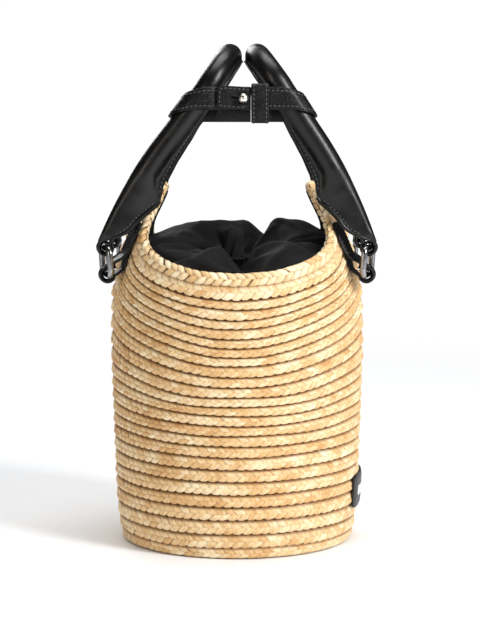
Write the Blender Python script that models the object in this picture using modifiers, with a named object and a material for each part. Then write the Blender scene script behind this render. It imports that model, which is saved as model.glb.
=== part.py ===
"""Straw bucket bag: round straw body, gathered fabric closure, two rolled leather handles
on rings, and a closure strap between the handles' near legs.

The origin is at the centre of the base underside, +Z up. +X is the front (label side) and
-X the back; "near" is -Y and "far" is +Y. Dimensions are in millimetres, scaled once by MM.
The rim rises to a tongue at the front and at the back, and dips on the near and far sides.
"""
import math

import bmesh
import bpy
import numpy as np
from mathutils import Matrix, Vector

MM = 0.001
SHARP_ANGLE = 38.0       # degrees; edges bent more than this are shaded sharp
GAP = 0.3                # air left between neighbouring pieces

# ---------------------------------------------------------------- driving dimensions: body
PEAK_Z = 250.0           # rim height over the tongues
DIP_Z = 192.0            # rim height at the dips
WALL_T = 4.2
BASE_R = 72.0
BASE_T = 4.2
BOARD_R = 71.4
BOARD_T = 1.5
LINING_T = 0.9
RIM_W = 9.0              # rim row height along the wall
RIM_T = 6.4              # rim row thickness
QUARTER_COLUMNS = 12     # columns of the wall mesh in a quarter turn

# (height, outer radius) of the wall at the tongues
WALL_PROFILE = [
    (0, 76.6), (1.6, 79.4), (5.5, 81.2), (12, 82.3), (20, 83.4), (34, 84.4),
    (62, 85.5), (98, 86.6), (141, 87.6), (165, 87.3), (185, 85.3), (205, 79.8),
    (222, 71.2), (235, 61.6), (245, 54.4), (256, 46.5),
]
LEAN_FROM = 165.0        # the wall leans inwards above this height
LEAN_DIP_SHARE = 0.30    # share of the lean that is left at the dips
LEAN_FADE_PHI = 22.0     # degrees from the tongue's middle where the lean starts to fade

# (degrees from the tongue's middle, rim height)
RIM_PROFILE = [
    (0, PEAK_Z), (8, 249.8), (14, 248.6), (18.5, 246.0), (22.5, 241.5), (26.5, 233.5),
    (30.5, 224.0), (35, 215.5), (40.5, 209.0), (47, 204.4), (54, 200.6), (62, 197.3),
    (74, 193.6), (90, DIP_Z),
]

# ---------------------------------------------------------------- driving dimensions: hardware
SIDES = {"back": -1, "front": 1}    # sign of x
ENDS = {"near": -1, "far": 1}       # sign of y
HARDWARE_Y = 38.0        # hardware and handle legs, distance from the middle plane
LOW_EYE = (88.0, 187.0)  # tab fold axis, (|x|, z)
TOP_EYE = (89.2, 205.4)  # handle eye axis, (|x|, z)
EYE_R = 5.3
EYE_HALF = 5.0           # eye half width along its axis
EYE_WAIST = 2.62         # hourglass hole, waist radius
EYE_FLARE = 4.42         # hourglass hole, mouth radius
EYE_BEVEL = 0.5

# ---------------------------------------------------------------- driving dimensions: handles
TUBE_R = 8.2             # rolled handle outer radius
COVER_T = 1.75
CORE_R = 5.6
CORE_FROM_Z = 250.0      # the core fills the legs above this height
HANDLE_LEAN = 4.4        # both handle tops lean this far towards +X
LEAN_REACH_Z = 335.3     # height at which the lean is measured
ARC_FOOT = (24.44, 313.0)  # where the legs meet the top arc, (|x|, z), before the lean
# Tube axis at the top, (|x|, z), before the lean. Both tops stand level after it.
APEX = {-1: (9.4, 338.0), 1: (9.4, 332.7)}
ARC_STEPS = 12

# ---------------------------------------------------------------- driving dimensions: strap
STRAP_H = 15.5
STRAP_T = 1.9
STRAP_EDGE = 0.4         # bevel height along the band's edges
STRAP_Z = 305.5          # front band centre
STRAP_BACK_Z = 297.5     # back band centre
STUD_X = 4.3
KEEPER_X = (9.5, 21.3)
KEEPER_Z = (290.6, 313.7)  # inside of the loop
TIP_X = (-13.3, 9.2)
TIP_Y = -48.6            # tip's front face
TIP_T = 2.0
TAIL_Y = -45.35          # middle of the stud tail
BACK_BAND_Y = -33.5


# ---------------------------------------------------------------- numeric tools
def pchip(points):
    """A monotone cubic through (x, y) points, as a function that holds its end values."""
    x, y = (np.array(column, float) for column in zip(*points))
    step = np.diff(x)
    slope = np.diff(y) / step
    tangent = np.zeros_like(y)
    tangent[0], tangent[-1] = slope[0], slope[-1]
    for i in range(1, len(x) - 1):
        if slope[i - 1] * slope[i] > 0:
            w1 = 2 * step[i] + step[i - 1]
            w2 = step[i] + 2 * step[i - 1]
            tangent[i] = (w1 + w2) / (w1 / slope[i - 1] + w2 / slope[i])

    def curve(query):
        query = np.clip(np.asarray(query, float), x[0], x[-1])
        i = np.clip(np.searchsorted(x, query, side="right") - 1, 0, len(x) - 2)
        t = (query - x[i]) / step[i]
        return (
            (2 * t**3 - 3 * t**2 + 1) * y[i]
            + (t**3 - 2 * t**2 + t) * step[i] * tangent[i]
            + (-2 * t**3 + 3 * t**2) * y[i + 1]
            + (t**3 - t**2) * step[i] * tangent[i + 1]
        )

    return curve


def unit(vector):
    return vector / np.linalg.norm(vector)


def circle_section(centre, radius, axis_a, axis_b, count):
    angles = [2 * math.pi * j / count for j in range(count)]
    return [centre + radius * (math.cos(a) * axis_a + math.sin(a) * axis_b) for a in angles]


def corner_arcs(corners, steps):
    """Quarter arcs in a row, from (centre u, centre w, radius, start degrees)."""
    points = []
    for u, w, radius, start in corners:
        for i in range(steps + 1):
            a = math.radians(start + 90 * i / steps)
            points.append((u + radius * math.cos(a), w + radius * math.sin(a)))
    return points


def rounded_rectangle(u0, u1, w0, w1, radius_u0, radius_u1):
    """Outline with one corner radius at its u0 end and one at its u1 end."""
    r0, r1 = radius_u0, radius_u1
    corners = [
        (u1 - r1, w1 - r1, r1, 0),
        (u0 + r0, w1 - r0, r0, 90),
        (u0 + r0, w0 + r0, r0, 180),
        (u1 - r1, w0 + r1, r1, 270),
    ]
    return corner_arcs(corners, steps=3)


# ---------------------------------------------------------------- wall surface and rim line
tongue_radius = pchip(WALL_PROFILE)
rim_height_at = pchip(RIM_PROFILE)
STRAIGHT_R = float(tongue_radius(LEAN_FROM))


def tongue_angle(theta):
    """Angle from the nearest tongue's middle, 0 to 90 degrees."""
    a = np.degrees(np.asarray(theta, float)) % 180.0
    return np.minimum(a, 180.0 - a)


def rim_height(theta):
    return rim_height_at(tongue_angle(theta))


def wall_radius(theta, z):
    """Outer radius of the straw wall."""
    z = np.asarray(z, float)
    radius = tongue_radius(z)
    fade = np.clip((tongue_angle(theta) - LEAN_FADE_PHI) / (90.0 - LEAN_FADE_PHI), 0, 1)
    fade = fade * fade * (3 - 2 * fade)
    share = 1 - (1 - LEAN_DIP_SHARE) * fade
    lean = np.where(z > LEAN_FROM, STRAIGHT_R - radius, 0.0)
    return np.where(z > LEAN_FROM, STRAIGHT_R - lean * share, radius)


def wall_point(theta, z, offset=0.0):
    """A point on the wall's outer surface, moved outwards along its normal."""
    r = float(wall_radius(theta, z))
    point = np.array([r * math.cos(theta), r * math.sin(theta), z])
    if not offset:
        return point
    return point + wall_normal(theta, z) * offset


def wall_normal(theta, z):
    """Outward unit normal, by finite differences."""
    dz, dtheta = 0.6, 0.01
    upward = wall_point(theta, z + dz) - wall_point(theta, max(z - dz, 0.0))
    around = wall_point(theta + dtheta, z) - wall_point(theta - dtheta, z)
    return unit(np.cross(around, upward))


def rim_line(theta):
    """Points of the rim for an array of angles."""
    z = rim_height(theta)
    r = wall_radius(theta, z)
    return np.stack([r * np.cos(theta), r * np.sin(theta), z], 1)


def rim_angles():
    """Angles of the wall's columns, evenly spaced along the rim within each quarter."""
    theta = np.linspace(0, math.pi / 2, 600)
    pieces = np.linalg.norm(np.diff(rim_line(theta), axis=0), axis=1)
    length = np.concatenate([[0], np.cumsum(pieces)])
    quarter = np.interp(np.linspace(0, length[-1], QUARTER_COLUMNS + 1), length, theta)
    half = list(quarter[:-1]) + [math.pi - a for a in quarter[::-1][:-1]]
    return np.array(half + [a + math.pi for a in half])


RIM_THETA = rim_angles()
COLUMNS = len(RIM_THETA)
EVEN_THETA = np.array([2 * math.pi * i / COLUMNS for i in range(COLUMNS)])


def below_rim(distance):
    """(theta, z) for each column, on the line this far below the rim along the wall."""
    samples, reach = 2400, 6
    line = rim_line(np.linspace(0, 2 * math.pi, samples + 1))
    result = []
    for theta in RIM_THETA:
        i = int(round(theta / (2 * math.pi) * samples)) % samples
        along = unit(line[(i + reach) % samples] - line[(i - reach) % samples])
        z = float(rim_height(theta))
        down = unit(np.cross(along, wall_normal(theta, z)))
        if down[2] > 0:
            down = -down
        x, y, z = wall_point(theta, z) + down * distance
        angle = math.atan2(y, x)
        # keep the angle in step with its own rim point
        if angle - theta < -math.pi:
            angle += 2 * math.pi
        result.append((angle, float(z)))
    return result


# ---------------------------------------------------------------- scene set-up
for old_object in list(bpy.data.objects):
    bpy.data.objects.remove(old_object, do_unlink=True)

scene = bpy.context.scene
scene.unit_settings.system = "METRIC"
scene.unit_settings.scale_length = 1.0

BAG = bpy.data.collections.new("straw_bucket_bag")
scene.collection.children.link(BAG)


# ---------------------------------------------------------------- materials
def material(name, colour, roughness, metallic=0.0):
    mat = bpy.data.materials.new(name)
    mat.use_nodes = True
    shader = mat.node_tree.nodes["Principled BSDF"]
    shader.inputs["Base Color"].default_value = (*colour, 1.0)
    shader.inputs["Roughness"].default_value = roughness
    shader.inputs["Metallic"].default_value = metallic
    mat.diffuse_color = (*colour, 1.0)
    return mat


STRAW = material("straw_plait", colour=(0.80, 0.60, 0.33), roughness=0.75)
STRAW_RIM = material("straw_rim_plait", colour=(0.85, 0.67, 0.40), roughness=0.75)
STRAW_BASE = material("straw_base_plait", colour=(0.76, 0.56, 0.30), roughness=0.78)
BOARD = material("base_board_fibre", colour=(0.36, 0.29, 0.20), roughness=0.9)
LINING = material("lining_fabric", colour=(0.028, 0.027, 0.030), roughness=0.92)
COLLAR_FABRIC = material("collar_fabric", colour=(0.035, 0.034, 0.038), roughness=0.9)
CORD = material("cord_black", colour=(0.03, 0.03, 0.03), roughness=0.85)
HANDLE_LEATHER = material("handle_leather", colour=(0.020, 0.020, 0.021), roughness=0.38)
TAB_LEATHER = material("tab_leather", colour=(0.026, 0.026, 0.027), roughness=0.42)
STRAP_LEATHER = material("strap_leather", colour=(0.024, 0.024, 0.025), roughness=0.45)
CORE = material("handle_core_cord", colour=(0.62, 0.55, 0.44), roughness=0.9)
GUNMETAL = material("ring_gunmetal", colour=(0.16, 0.16, 0.17), roughness=0.28, metallic=1.0)
STUD_METAL = material("stud_metal", colour=(0.70, 0.69, 0.66), roughness=0.22, metallic=1.0)
LABEL = material("label_patch_rubber", colour=(0.015, 0.015, 0.016), roughness=0.5)


# ---------------------------------------------------------------- mesh tools
def link(obj, mat):
    """Pieces go into the bag's collection; cutters have no material and stay outside it."""
    if mat:
        BAG.objects.link(obj)
        obj.data.materials.clear()
        obj.data.materials.append(mat)
    else:
        scene.collection.objects.link(obj)


def finish(obj):
    for polygon in obj.data.polygons:
        polygon.use_smooth = True
    obj.data.set_sharp_from_angle(angle=math.radians(SHARP_ANGLE))


def body(name, verts, faces, mat, origin=(0, 0, 0)):
    """A triangulated body from vertices in mm."""
    origin = np.array(origin, float)
    mesh = bpy.data.meshes.new(name)
    mesh.from_pydata([tuple((v - origin) * MM) for v in verts], [], faces)
    bm = bmesh.new()
    bm.from_mesh(mesh)
    bmesh.ops.remove_doubles(bm, verts=bm.verts, dist=1e-7)
    bmesh.ops.recalc_face_normals(bm, faces=bm.faces)
    bmesh.ops.triangulate(bm, faces=bm.faces, quad_method="FIXED", ngon_method="EAR_CLIP")
    bm.to_mesh(mesh)
    bm.free()
    obj = bpy.data.objects.new(name, mesh)
    obj.location = tuple(origin * MM)
    link(obj, mat)
    finish(obj)
    return obj


def strip_faces(ring_a, ring_b, a, b):
    """Triangles between two rings whose vertices start at a and b.

    Every diagonal leans the same way in space, so nested skins keep their distance.
    """
    count = len(ring_a)
    rising = sum(p[2] for p in ring_a) <= sum(p[2] for p in ring_b)
    faces = []
    for j in range(count):
        k = (j + 1) % count
        if rising:
            faces += [(a + j, a + k, b + k), (a + j, b + k, b + j)]
        else:
            faces += [(a + j, a + k, b + j), (a + k, b + k, b + j)]
    return faces


def loft(name, sections, mat, closed=False, origin=(0, 0, 0)):
    """Joins equal-count closed sections into one body, capped unless the row is closed."""
    size = len(sections[0])
    count = len(sections)
    verts = [p for section in sections for p in section]
    faces = []
    for i in range(count if closed else count - 1):
        k = (i + 1) % count
        faces += strip_faces(sections[i], sections[k], i * size, k * size)
    if not closed:
        faces.append(tuple(range(size))[::-1])
        faces.append(tuple((count - 1) * size + j for j in range(size)))
    return body(name, verts, faces, mat, origin)


def revolved(name, profile, mat, steps, matrix=None, origin=(0, 0, 0)):
    """A profile of (radius, height) turned about Z, then placed by matrix.

    A profile that never touches the axis is joined end to end.
    """
    count = len(profile)
    edges = [(i, i + 1) for i in range(count - 1)]
    if all(r > 1e-9 for r, _ in profile):
        edges.append((count - 1, 0))
    profile_mesh = bpy.data.meshes.new(name + "_profile")
    profile_mesh.from_pydata([(r * MM, 0.0, z * MM) for r, z in profile], edges, [])
    turned = bpy.data.objects.new(name + "_profile", profile_mesh)
    scene.collection.objects.link(turned)
    screw = turned.modifiers.new("turn", "SCREW")
    screw.angle = 2 * math.pi
    screw.steps = steps
    screw.render_steps = steps
    screw.axis = "Z"
    screw.use_merge_vertices = True
    screw.merge_threshold = 1e-6
    screw.use_smooth_shade = True
    bpy.context.view_layer.update()
    depsgraph = bpy.context.evaluated_depsgraph_get()
    mesh = bpy.data.meshes.new_from_object(turned.evaluated_get(depsgraph))
    bpy.data.objects.remove(turned, do_unlink=True)

    if matrix:
        mesh.transform(matrix)
    bm = bmesh.new()
    bm.from_mesh(mesh)
    bmesh.ops.remove_doubles(bm, verts=bm.verts, dist=1e-6)
    bmesh.ops.recalc_face_normals(bm, faces=bm.faces)
    bm.to_mesh(mesh)
    bm.free()
    mesh.name = name
    location = Vector(origin) * MM
    mesh.transform(Matrix.Translation(-location))
    obj = bpy.data.objects.new(name, mesh)
    obj.location = location
    link(obj, mat)
    finish(obj)
    return obj


def axis_along_y(x, y, z):
    """Places a turned part with its axis along Y, its top towards -Y."""
    turn = Matrix.Rotation(math.radians(90), 4, "X")
    return Matrix.Translation(Vector((x, y, z)) * MM) @ turn


def combine(obj, other, operation):
    """Applies a boolean at once and removes the other object."""
    boolean = obj.modifiers.new("join", "BOOLEAN")
    boolean.operation = operation
    boolean.solver = "EXACT"
    boolean.object = other
    bpy.context.view_layer.update()
    depsgraph = bpy.context.evaluated_depsgraph_get()
    mesh = bpy.data.meshes.new_from_object(obj.evaluated_get(depsgraph))
    obj.modifiers.clear()
    old_mesh = obj.data
    mat = old_mesh.materials[0]
    obj.data = mesh
    mesh.materials.clear()
    mesh.materials.append(mat)
    for polygon in mesh.polygons:
        polygon.material_index = 0
    bpy.data.meshes.remove(old_mesh)
    bpy.data.objects.remove(other, do_unlink=True)
    bm = bmesh.new()
    bm.from_mesh(mesh)
    bmesh.ops.remove_doubles(bm, verts=bm.verts, dist=2e-7)
    bmesh.ops.dissolve_degenerate(bm, edges=bm.edges, dist=2e-7)
    bmesh.ops.recalc_face_normals(bm, faces=bm.faces)
    bm.to_mesh(mesh)
    bm.free()
    finish(obj)


def cut_round_hole(obj, centre, radius, half_length, steps):
    """Cuts a cylinder along Y out of a piece."""
    profile = [(0, half_length), (radius, half_length), (radius, -half_length), (0, -half_length)]
    rod = revolved("round_cutter", profile, None, steps, matrix=axis_along_y(*centre))
    combine(obj, rod, "DIFFERENCE")


# ---------------------------------------------------------------- straw body
WALL_LEVELS = [0.0, 0.16, 0.38, 0.60, 0.76, 0.87, 0.94, 1.0]  # shares of the shell's height
FOOT_R = BASE_R + 0.4    # inner edge of the wall's foot, just clear of the base


def flat_ring(radius, z):
    return [np.array([radius * math.cos(t), radius * math.sin(t), z]) for t in EVEN_THETA]


def shell_rings(offset, z_low, top):
    """Rings from z_low up to the top line of (theta, z), offset along the wall's normal."""
    rings = []
    for level in WALL_LEVELS:
        shift = level**3  # the columns move to the top line's angles mostly near the top
        ring = []
        for even_theta, (top_theta, top_z) in zip(EVEN_THETA, top):
            theta = even_theta * (1 - shift) + top_theta * shift
            ring.append(wall_point(theta, z_low + (top_z - z_low) * level, offset))
        rings.append(ring)
    return rings


def build_straw_wall():
    top = below_rim(RIM_W + GAP)
    z_low = 13.0
    outer = [flat_ring(FOOT_R, 0.0)]
    outer += [flat_ring(radius, z) for z, radius in WALL_PROFILE[:3]]
    outer += shell_rings(0.0, z_low, top)
    inner = shell_rings(-WALL_T, z_low, top)[::-1]
    inner += [flat_ring(76.6, 6.6), flat_ring(FOOT_R, BASE_T)]
    loft("straw_wall", outer + inner, STRAW, closed=True)


def build_straw_base():
    bevel = 0.6
    profile = [
        (0, BASE_T), (BASE_R - bevel, BASE_T), (BASE_R, BASE_T - bevel),
        (BASE_R, bevel), (BASE_R - bevel, 0.0), (0, 0.0),
    ]
    revolved("straw_base", profile, STRAW_BASE, steps=56)


def build_base_board():
    z0 = BASE_T + GAP
    z1 = z0 + BOARD_T
    revolved("base_board", [(0, z1), (BOARD_R, z1), (BOARD_R, z0), (0, z0)], BOARD, steps=48)


def build_rim_braid():
    """The rim row, a thick folded plait that straddles the wall's top edge."""
    outside = 1.1                  # how far it stands proud of the wall
    inside = outside - RIM_T
    edge, shoulder = 0.5, 0.4      # rounding at the lower edges and the outer shoulder
    sections = []
    for theta, mid, low in zip(RIM_THETA, below_rim(RIM_W * 0.5), below_rim(RIM_W)):
        z = float(rim_height(theta))
        top_p, top_n = wall_point(theta, z), wall_normal(theta, z)
        mid_p, mid_n = wall_point(*mid), wall_normal(*mid)
        low_p, low_n = wall_point(*low), wall_normal(*low)
        shoulder_p = top_p * 0.82 + mid_p * 0.18
        sections.append([
            low_p + low_n * (outside - edge),
            mid_p + mid_n * outside,
            shoulder_p + top_n * (outside - shoulder),
            top_p + top_n * (-RIM_T * 0.22),
            top_p + top_n * (-RIM_T * 0.5),
            shoulder_p + top_n * (inside + edge),
            mid_p + mid_n * inside,
            low_p + low_n * (inside + edge),
        ])
    loft("rim_braid", sections, STRAW_RIM, closed=True)


# ---------------------------------------------------------------- lining and gathered closure
def build_lining_pouch():
    top = below_rim(RIM_W + GAP + 0.4)
    z_low = 14.0
    offset = -(WALL_T + GAP + 0.2)
    floor_z = BASE_T + GAP + BOARD_T + GAP
    sections = [flat_ring(70.6, floor_z), flat_ring(75.2, floor_z + 2.2)]
    sections += shell_rings(offset, z_low, top)
    sections += shell_rings(offset - LINING_T, z_low, top)[::-1]
    sections += [flat_ring(74.6, floor_z + 3.6), flat_ring(70.2, floor_z + LINING_T + 0.1)]
    loft("lining_pouch", sections, LINING)


PLEATS = 13
PLEAT_SEGMENTS = 3
# (radius, height, pleat lift), from the foot at the lining over the dome to the gathered mouth
COLLAR_ROWS = [
    (78.0, 183.0, 0.0), (75.2, 191.0, 0.3), (69.0, 199.5, 1.2), (59.0, 206.5, 2.2),
    (47.0, 210.0, 2.6), (35.0, 209.0, 2.4), (25.0, 206.0, 1.8), (16.0, 203.0, 0.9),
    (10.0, 201.6, 0.3), (8.2, 203.6, 0.2), (9.6, 207.2, 0.5), (13.0, 210.6, 0.9),
]
COLLAR_FITTED_ROWS = 2   # the first rows follow the wall's own radius
COLLAR_MOUTH_ROW = 8     # from here on the pleats move the radius, not the height
COLLAR_T = 1.2
COLLAR_TILT = 8.0 / 50.0  # the dome rises towards +Y
COLLAR_CLEARANCE = WALL_T + GAP + LINING_T + GAP + 1.9  # wall's outside to the collar's foot


def collar_ring(row, offset):
    """One row of the collar, offset in its radial plane; on the dome, positive is upwards."""
    radius, height, lift = COLLAR_ROWS[row]
    foot_radius, foot_z, _ = COLLAR_ROWS[0]
    before = COLLAR_ROWS[max(row - 1, 0)]
    after = COLLAR_ROWS[min(row + 1, len(COLLAR_ROWS) - 1)]
    tangent = unit(np.array([after[0] - before[0], after[1] - before[1]]))
    normal = np.array([tangent[1], -tangent[0]])
    # the tilt fades out at the foot and at the mouth
    tilt = COLLAR_TILT * min(1.0, max(0.0, (75.0 - radius) / 25.0)) * min(1.0, radius / 22.0)
    points = []
    for k in range(PLEATS * PLEAT_SEGMENTS):
        theta = 2 * math.pi * k / (PLEATS * PLEAT_SEGMENTS)
        wave = lift * math.cos(2 * math.pi * k / PLEAT_SEGMENTS)
        r, z = radius, height
        if row >= COLLAR_MOUTH_ROW:
            r += wave
        else:
            if row < COLLAR_FITTED_ROWS:
                inside = float(wall_radius(theta, foot_z)) - COLLAR_CLEARANCE
                r += (inside - foot_radius) * (1 - row / COLLAR_FITTED_ROWS)
            z += wave + tilt * r * math.sin(theta)
        r += normal[0] * offset
        z += normal[1] * offset
        points.append(np.array([r * math.cos(theta), r * math.sin(theta), z]))
    return points


def build_gathered_collar():
    rows = range(len(COLLAR_ROWS))
    under = [collar_ring(row, -COLLAR_T / 2) for row in rows]
    upper = [collar_ring(row, COLLAR_T / 2) for row in rows]
    loft("gathered_collar", under + upper[::-1], COLLAR_FABRIC, closed=True)


def build_drawstring_cord():
    loop_r, loop_z, cord_r = 12.2, 206.2, 1.05
    angles = [2 * math.pi * i / 8 for i in range(8)]
    profile = [(loop_r + cord_r * math.cos(a), loop_z + cord_r * math.sin(a)) for a in angles]
    revolved("drawstring_cord", profile, CORD, steps=24)


# ---------------------------------------------------------------- label patch
def build_label_patch():
    """A thin rectangle bent to the wall, low on the front."""
    span_degrees, height, centre_z = 43.4, 23.5, 36.0
    stand_off, thickness = 0.9, 2.0
    bm = bmesh.new()
    bmesh.ops.create_grid(bm, x_segments=12, y_segments=4, size=0.5)
    for v in bm.verts:
        theta = math.radians(v.co.x * span_degrees)
        v.co = Vector(wall_point(theta, centre_z + v.co.y * height, stand_off)) * MM
    bmesh.ops.recalc_face_normals(bm, faces=bm.faces)
    # an open sheet may come out facing either way; it has to thicken outwards
    if sum(f.normal.x for f in bm.faces) < 0:
        bmesh.ops.reverse_faces(bm, faces=bm.faces)
    mesh = bpy.data.meshes.new("label_patch")
    bm.to_mesh(mesh)
    bm.free()
    patch = bpy.data.objects.new("label_patch", mesh)
    link(patch, LABEL)
    solidify = patch.modifiers.new("thick", "SOLIDIFY")
    solidify.thickness = thickness * MM
    solidify.offset = 1.0
    finish(patch)


# ---------------------------------------------------------------- rings, tabs and their eyes
RING_WIRE_R = 2.1
RING_W = 20.0            # side bar centre to side bar centre
RING_TURN = 20.0         # degrees between the ring's bars and the Y axis
RING_CORNER = 4.4

TAB_T = 2.2
# flat part on the wall: (height, half width, stand-off from the wall)
TAB_WALL_ROWS = [
    (213.0, 6.0, 0.6), (210.5, 7.4, 0.6), (205.0, 7.4, 0.6), (199.0, 6.9, 0.9), (194.5, 6.2, 2.4),
]
# end part inside the fold's wall: (outward and upward from the fold axis, half width)
TAB_FOLD_ROWS = [(-1.9, 4.6, 5.2), (-3.7, 1.0, 4.9)]
TAB_SHARES = (-1, -0.5, 0, 0.5, 1)  # points across the tab, shares of its half width


def add_eye(obj, x, y, z):
    """Adds a leather fold round a bar: round outside, hole flared to both mouths, along Y."""
    # First clear the hole, a little wider, so that the trim ends inside the fold's own wall.
    waist, flare, overrun = EYE_WAIST + 0.5, EYE_FLARE + 0.42, 2.3
    reach = EYE_HALF + overrun
    mouth = flare + overrun * (flare - waist) / EYE_HALF
    clear_profile = [(0, reach), (mouth, reach), (waist, 0.0), (mouth, -reach), (0, -reach)]
    eye_profile = [
        (EYE_R - EYE_BEVEL, EYE_HALF),
        (EYE_R, EYE_HALF - EYE_BEVEL),
        (EYE_R, -EYE_HALF + EYE_BEVEL),
        (EYE_R - EYE_BEVEL, -EYE_HALF),
        (EYE_FLARE, -EYE_HALF),
        (EYE_WAIST, 0.0),
        (EYE_FLARE, EYE_HALF),
    ]
    for profile, operation in ((clear_profile, "DIFFERENCE"), (eye_profile, "UNION")):
        part = revolved("eye_part", profile, None, steps=18, matrix=axis_along_y(x, y, z))
        combine(obj, part, operation)


def ring_path():
    """Rounded rectangle in the ring's plane: (across, up), from its lower bar's middle."""
    height = TOP_EYE[1] - LOW_EYE[1]
    half, r = RING_W / 2, RING_CORNER
    corners = [
        (half - r, r, r, -90),
        (half - r, height - r, r, 0),
        (-half + r, height - r, r, 90),
        (-half + r, r, r, 180),
    ]
    return corner_arcs(corners, steps=4)


def build_ring(name, side, end):
    x0, y0, z0 = side * LOW_EYE[0], end * HARDWARE_Y, LOW_EYE[1]
    x1, z1 = side * TOP_EYE[0], TOP_EYE[1]
    turn = math.radians(RING_TURN)
    # the bars run along the wall, so the end away from the middle plane stands further in
    across = np.array([-side * math.sin(turn), end * math.cos(turn), 0.0])
    up = np.array([x1 - x0, 0, z1 - z0])
    length = np.linalg.norm(up)
    stretch = length / (z1 - z0)
    up = up / length
    start = np.array([x0, y0, z0])
    path = [start + across * u + up * (w * stretch) for u, w in ring_path()]
    normal = unit(np.cross(across, up))
    sections = []
    for i, point in enumerate(path):
        tangent = unit(path[(i + 1) % len(path)] - path[i - 1])
        sideways = unit(np.cross(tangent, normal))
        sections.append(circle_section(point, RING_WIRE_R, normal, sideways, 8))
    loft(name, sections, GUNMETAL, closed=True, origin=(x0, y0, z0))


def build_tab(name, side, end):
    """A strip flat on the wall, that runs down and folds round the ring's lower bar."""
    x0, y0, z0 = side * LOW_EYE[0], end * HARDWARE_Y, LOW_EYE[1]
    theta = math.atan2(y0, x0)
    sections = []
    for z, half, offset in TAB_WALL_ROWS:
        a = half / float(wall_radius(theta, z))
        inner = [wall_point(theta + s * a, z, offset) for s in TAB_SHARES]
        outer = [wall_point(theta + s * a, z, offset + TAB_T) for s in TAB_SHARES[::-1]]
        sections.append(inner + outer)
    for outward, upward, half in TAB_FOLD_ROWS:
        x, z = abs(x0) + outward, z0 + upward
        inner_x, outer_x = side * (x - TAB_T * 0.55), side * (x + TAB_T * 0.45)
        inner = [np.array([inner_x, y0 + side * s * half, z]) for s in TAB_SHARES]
        outer = [np.array([outer_x, y0 + side * s * half, z + 0.9]) for s in TAB_SHARES[::-1]]
        sections.append(inner + outer)
    tab = loft(name, sections, TAB_LEATHER)
    add_eye(tab, x0, y0, z0)


# ---------------------------------------------------------------- handles
# (height, |x|) of a leg's axis, before the lean
LEG_AXIS = [
    (207.0, 86.6), (217.5, 82.4), (230.5, 76.6), (244.0, 69.9), (257.5, 62.6),
    (271.0, 54.0), (284.5, 44.3), (298.8, 34.3), (313.0, 24.36),
]
STRAP_LEG_Z = 284.5      # leg station just below the closure strap
LEG_STATIONS = [
    207.0, 210.0, 214.0, 220.0, 227.0, 235.0, 242.0, 246.5, 252.0, 260.0, 271.0,
    STRAP_LEG_Z, 298.8,
]

# Half profiles of the cover: (towards the middle of the bag, half width along the tube's
# side). Eight points run along the outside, then eight come back along the inside.
HOOD = [
    (-8.2, 0), (-7.0, 4.3), (-3.5, 6.6), (1.5, 6.9), (7.0, 6.1), (12.0, 4.5), (16.4, 2.7), (20.5, 2.1),
    (20.5, 0.2), (16.0, 0.7), (11.6, 2.8), (6.6, 4.4), (1.5, 5.15), (-3.0, 4.95), (-5.6, 3.2), (-6.45, 0),
]
OPEN_U = [
    (-8.2, 0), (-7.4, 3.8), (-5.2, 5.7), (-2.0, 6.1), (1.6, 6.1), (4.8, 6.0), (7.8, 5.8), (10.4, 5.6),
    (10.4, 3.9), (7.8, 4.05), (4.8, 4.25), (1.6, 4.4), (-2.0, 4.4), (-4.6, 4.0), (-5.9, 2.7), (-6.45, 0),
]
SHALLOW_U = [
    (-8.2, 0), (-8.05, 2.6), (-7.5, 4.6), (-6.5, 5.7), (-5.4, 6.0), (-4.2, 6.1), (-3.0, 6.1), (-1.6, 6.0),
    (-1.6, 4.4), (-3.0, 4.4), (-4.2, 4.3), (-5.0, 4.1), (-5.6, 3.5), (-6.1, 2.4), (-6.35, 1.2), (-6.45, 0),
]
FLAT = [
    (-8.2, 0), (-8.2, 1.5), (-8.15, 3.0), (-8.05, 4.0), (-7.8, 4.5), (-7.4, 4.7), (-6.8, 4.75), (-6.2, 4.7),
    (-5.5, 4.5), (-5.0, 4.1), (-4.8, 3.5), (-4.75, 2.9), (-4.7, 2.2), (-4.7, 1.5), (-4.7, 0.8), (-4.7, 0),
]
TUBE_FROM_Z, TUBE_SETTLED_Z = 259.0, 295.0  # the seam's tip draws in between these heights
SEAM_TIP_LOW, SEAM_TIP_HIGH = 14.2, 9.7     # how far the seam reaches from the tube's axis


def tube_profile(tip):
    """Half profile of the rolled tube, with a flat seam that reaches in to tip."""
    seam_start = min(9.0, tip - 1.2)
    outer_r, inner_r = TUBE_R, TUBE_R - COVER_T

    def arc(r, degrees):
        return [(-r * math.cos(math.radians(a)), r * math.sin(math.radians(a))) for a in degrees]

    seam = [(seam_start, 2.2), (tip, 2.0), (tip, 0.2), (seam_start, 0.2)]
    outside = arc(outer_r, (0, 30, 60, 90, 116, 140))
    return outside + seam + arc(inner_r, (148, 122, 94, 64, 32, 0))


# (height before the lean, half profile); the cover blends evenly from one to the next
COVER_STATIONS = [
    (207.0, FLAT), (213.0, SHALLOW_U), (227.0, OPEN_U), (243.0, HOOD), (246.0, HOOD),
    (TUBE_FROM_Z, tube_profile(SEAM_TIP_LOW)),
]


def cover_profile(z):
    """The cover's half profile at a height before the lean."""
    if z >= TUBE_FROM_Z:
        t = min(1.0, (z - TUBE_FROM_Z) / (TUBE_SETTLED_Z - TUBE_FROM_Z))
        return tube_profile(SEAM_TIP_LOW * (1 - t) + SEAM_TIP_HIGH * t)
    upper = next(i for i, (station_z, _) in enumerate(COVER_STATIONS) if z < station_z)
    (z0, below), (z1, above) = COVER_STATIONS[upper - 1:upper + 1]
    t = (z - z0) / (z1 - z0)
    return [(p[0] * (1 - t) + q[0] * t, p[1] * (1 - t) + q[1] * t) for p, q in zip(below, above)]


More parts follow.
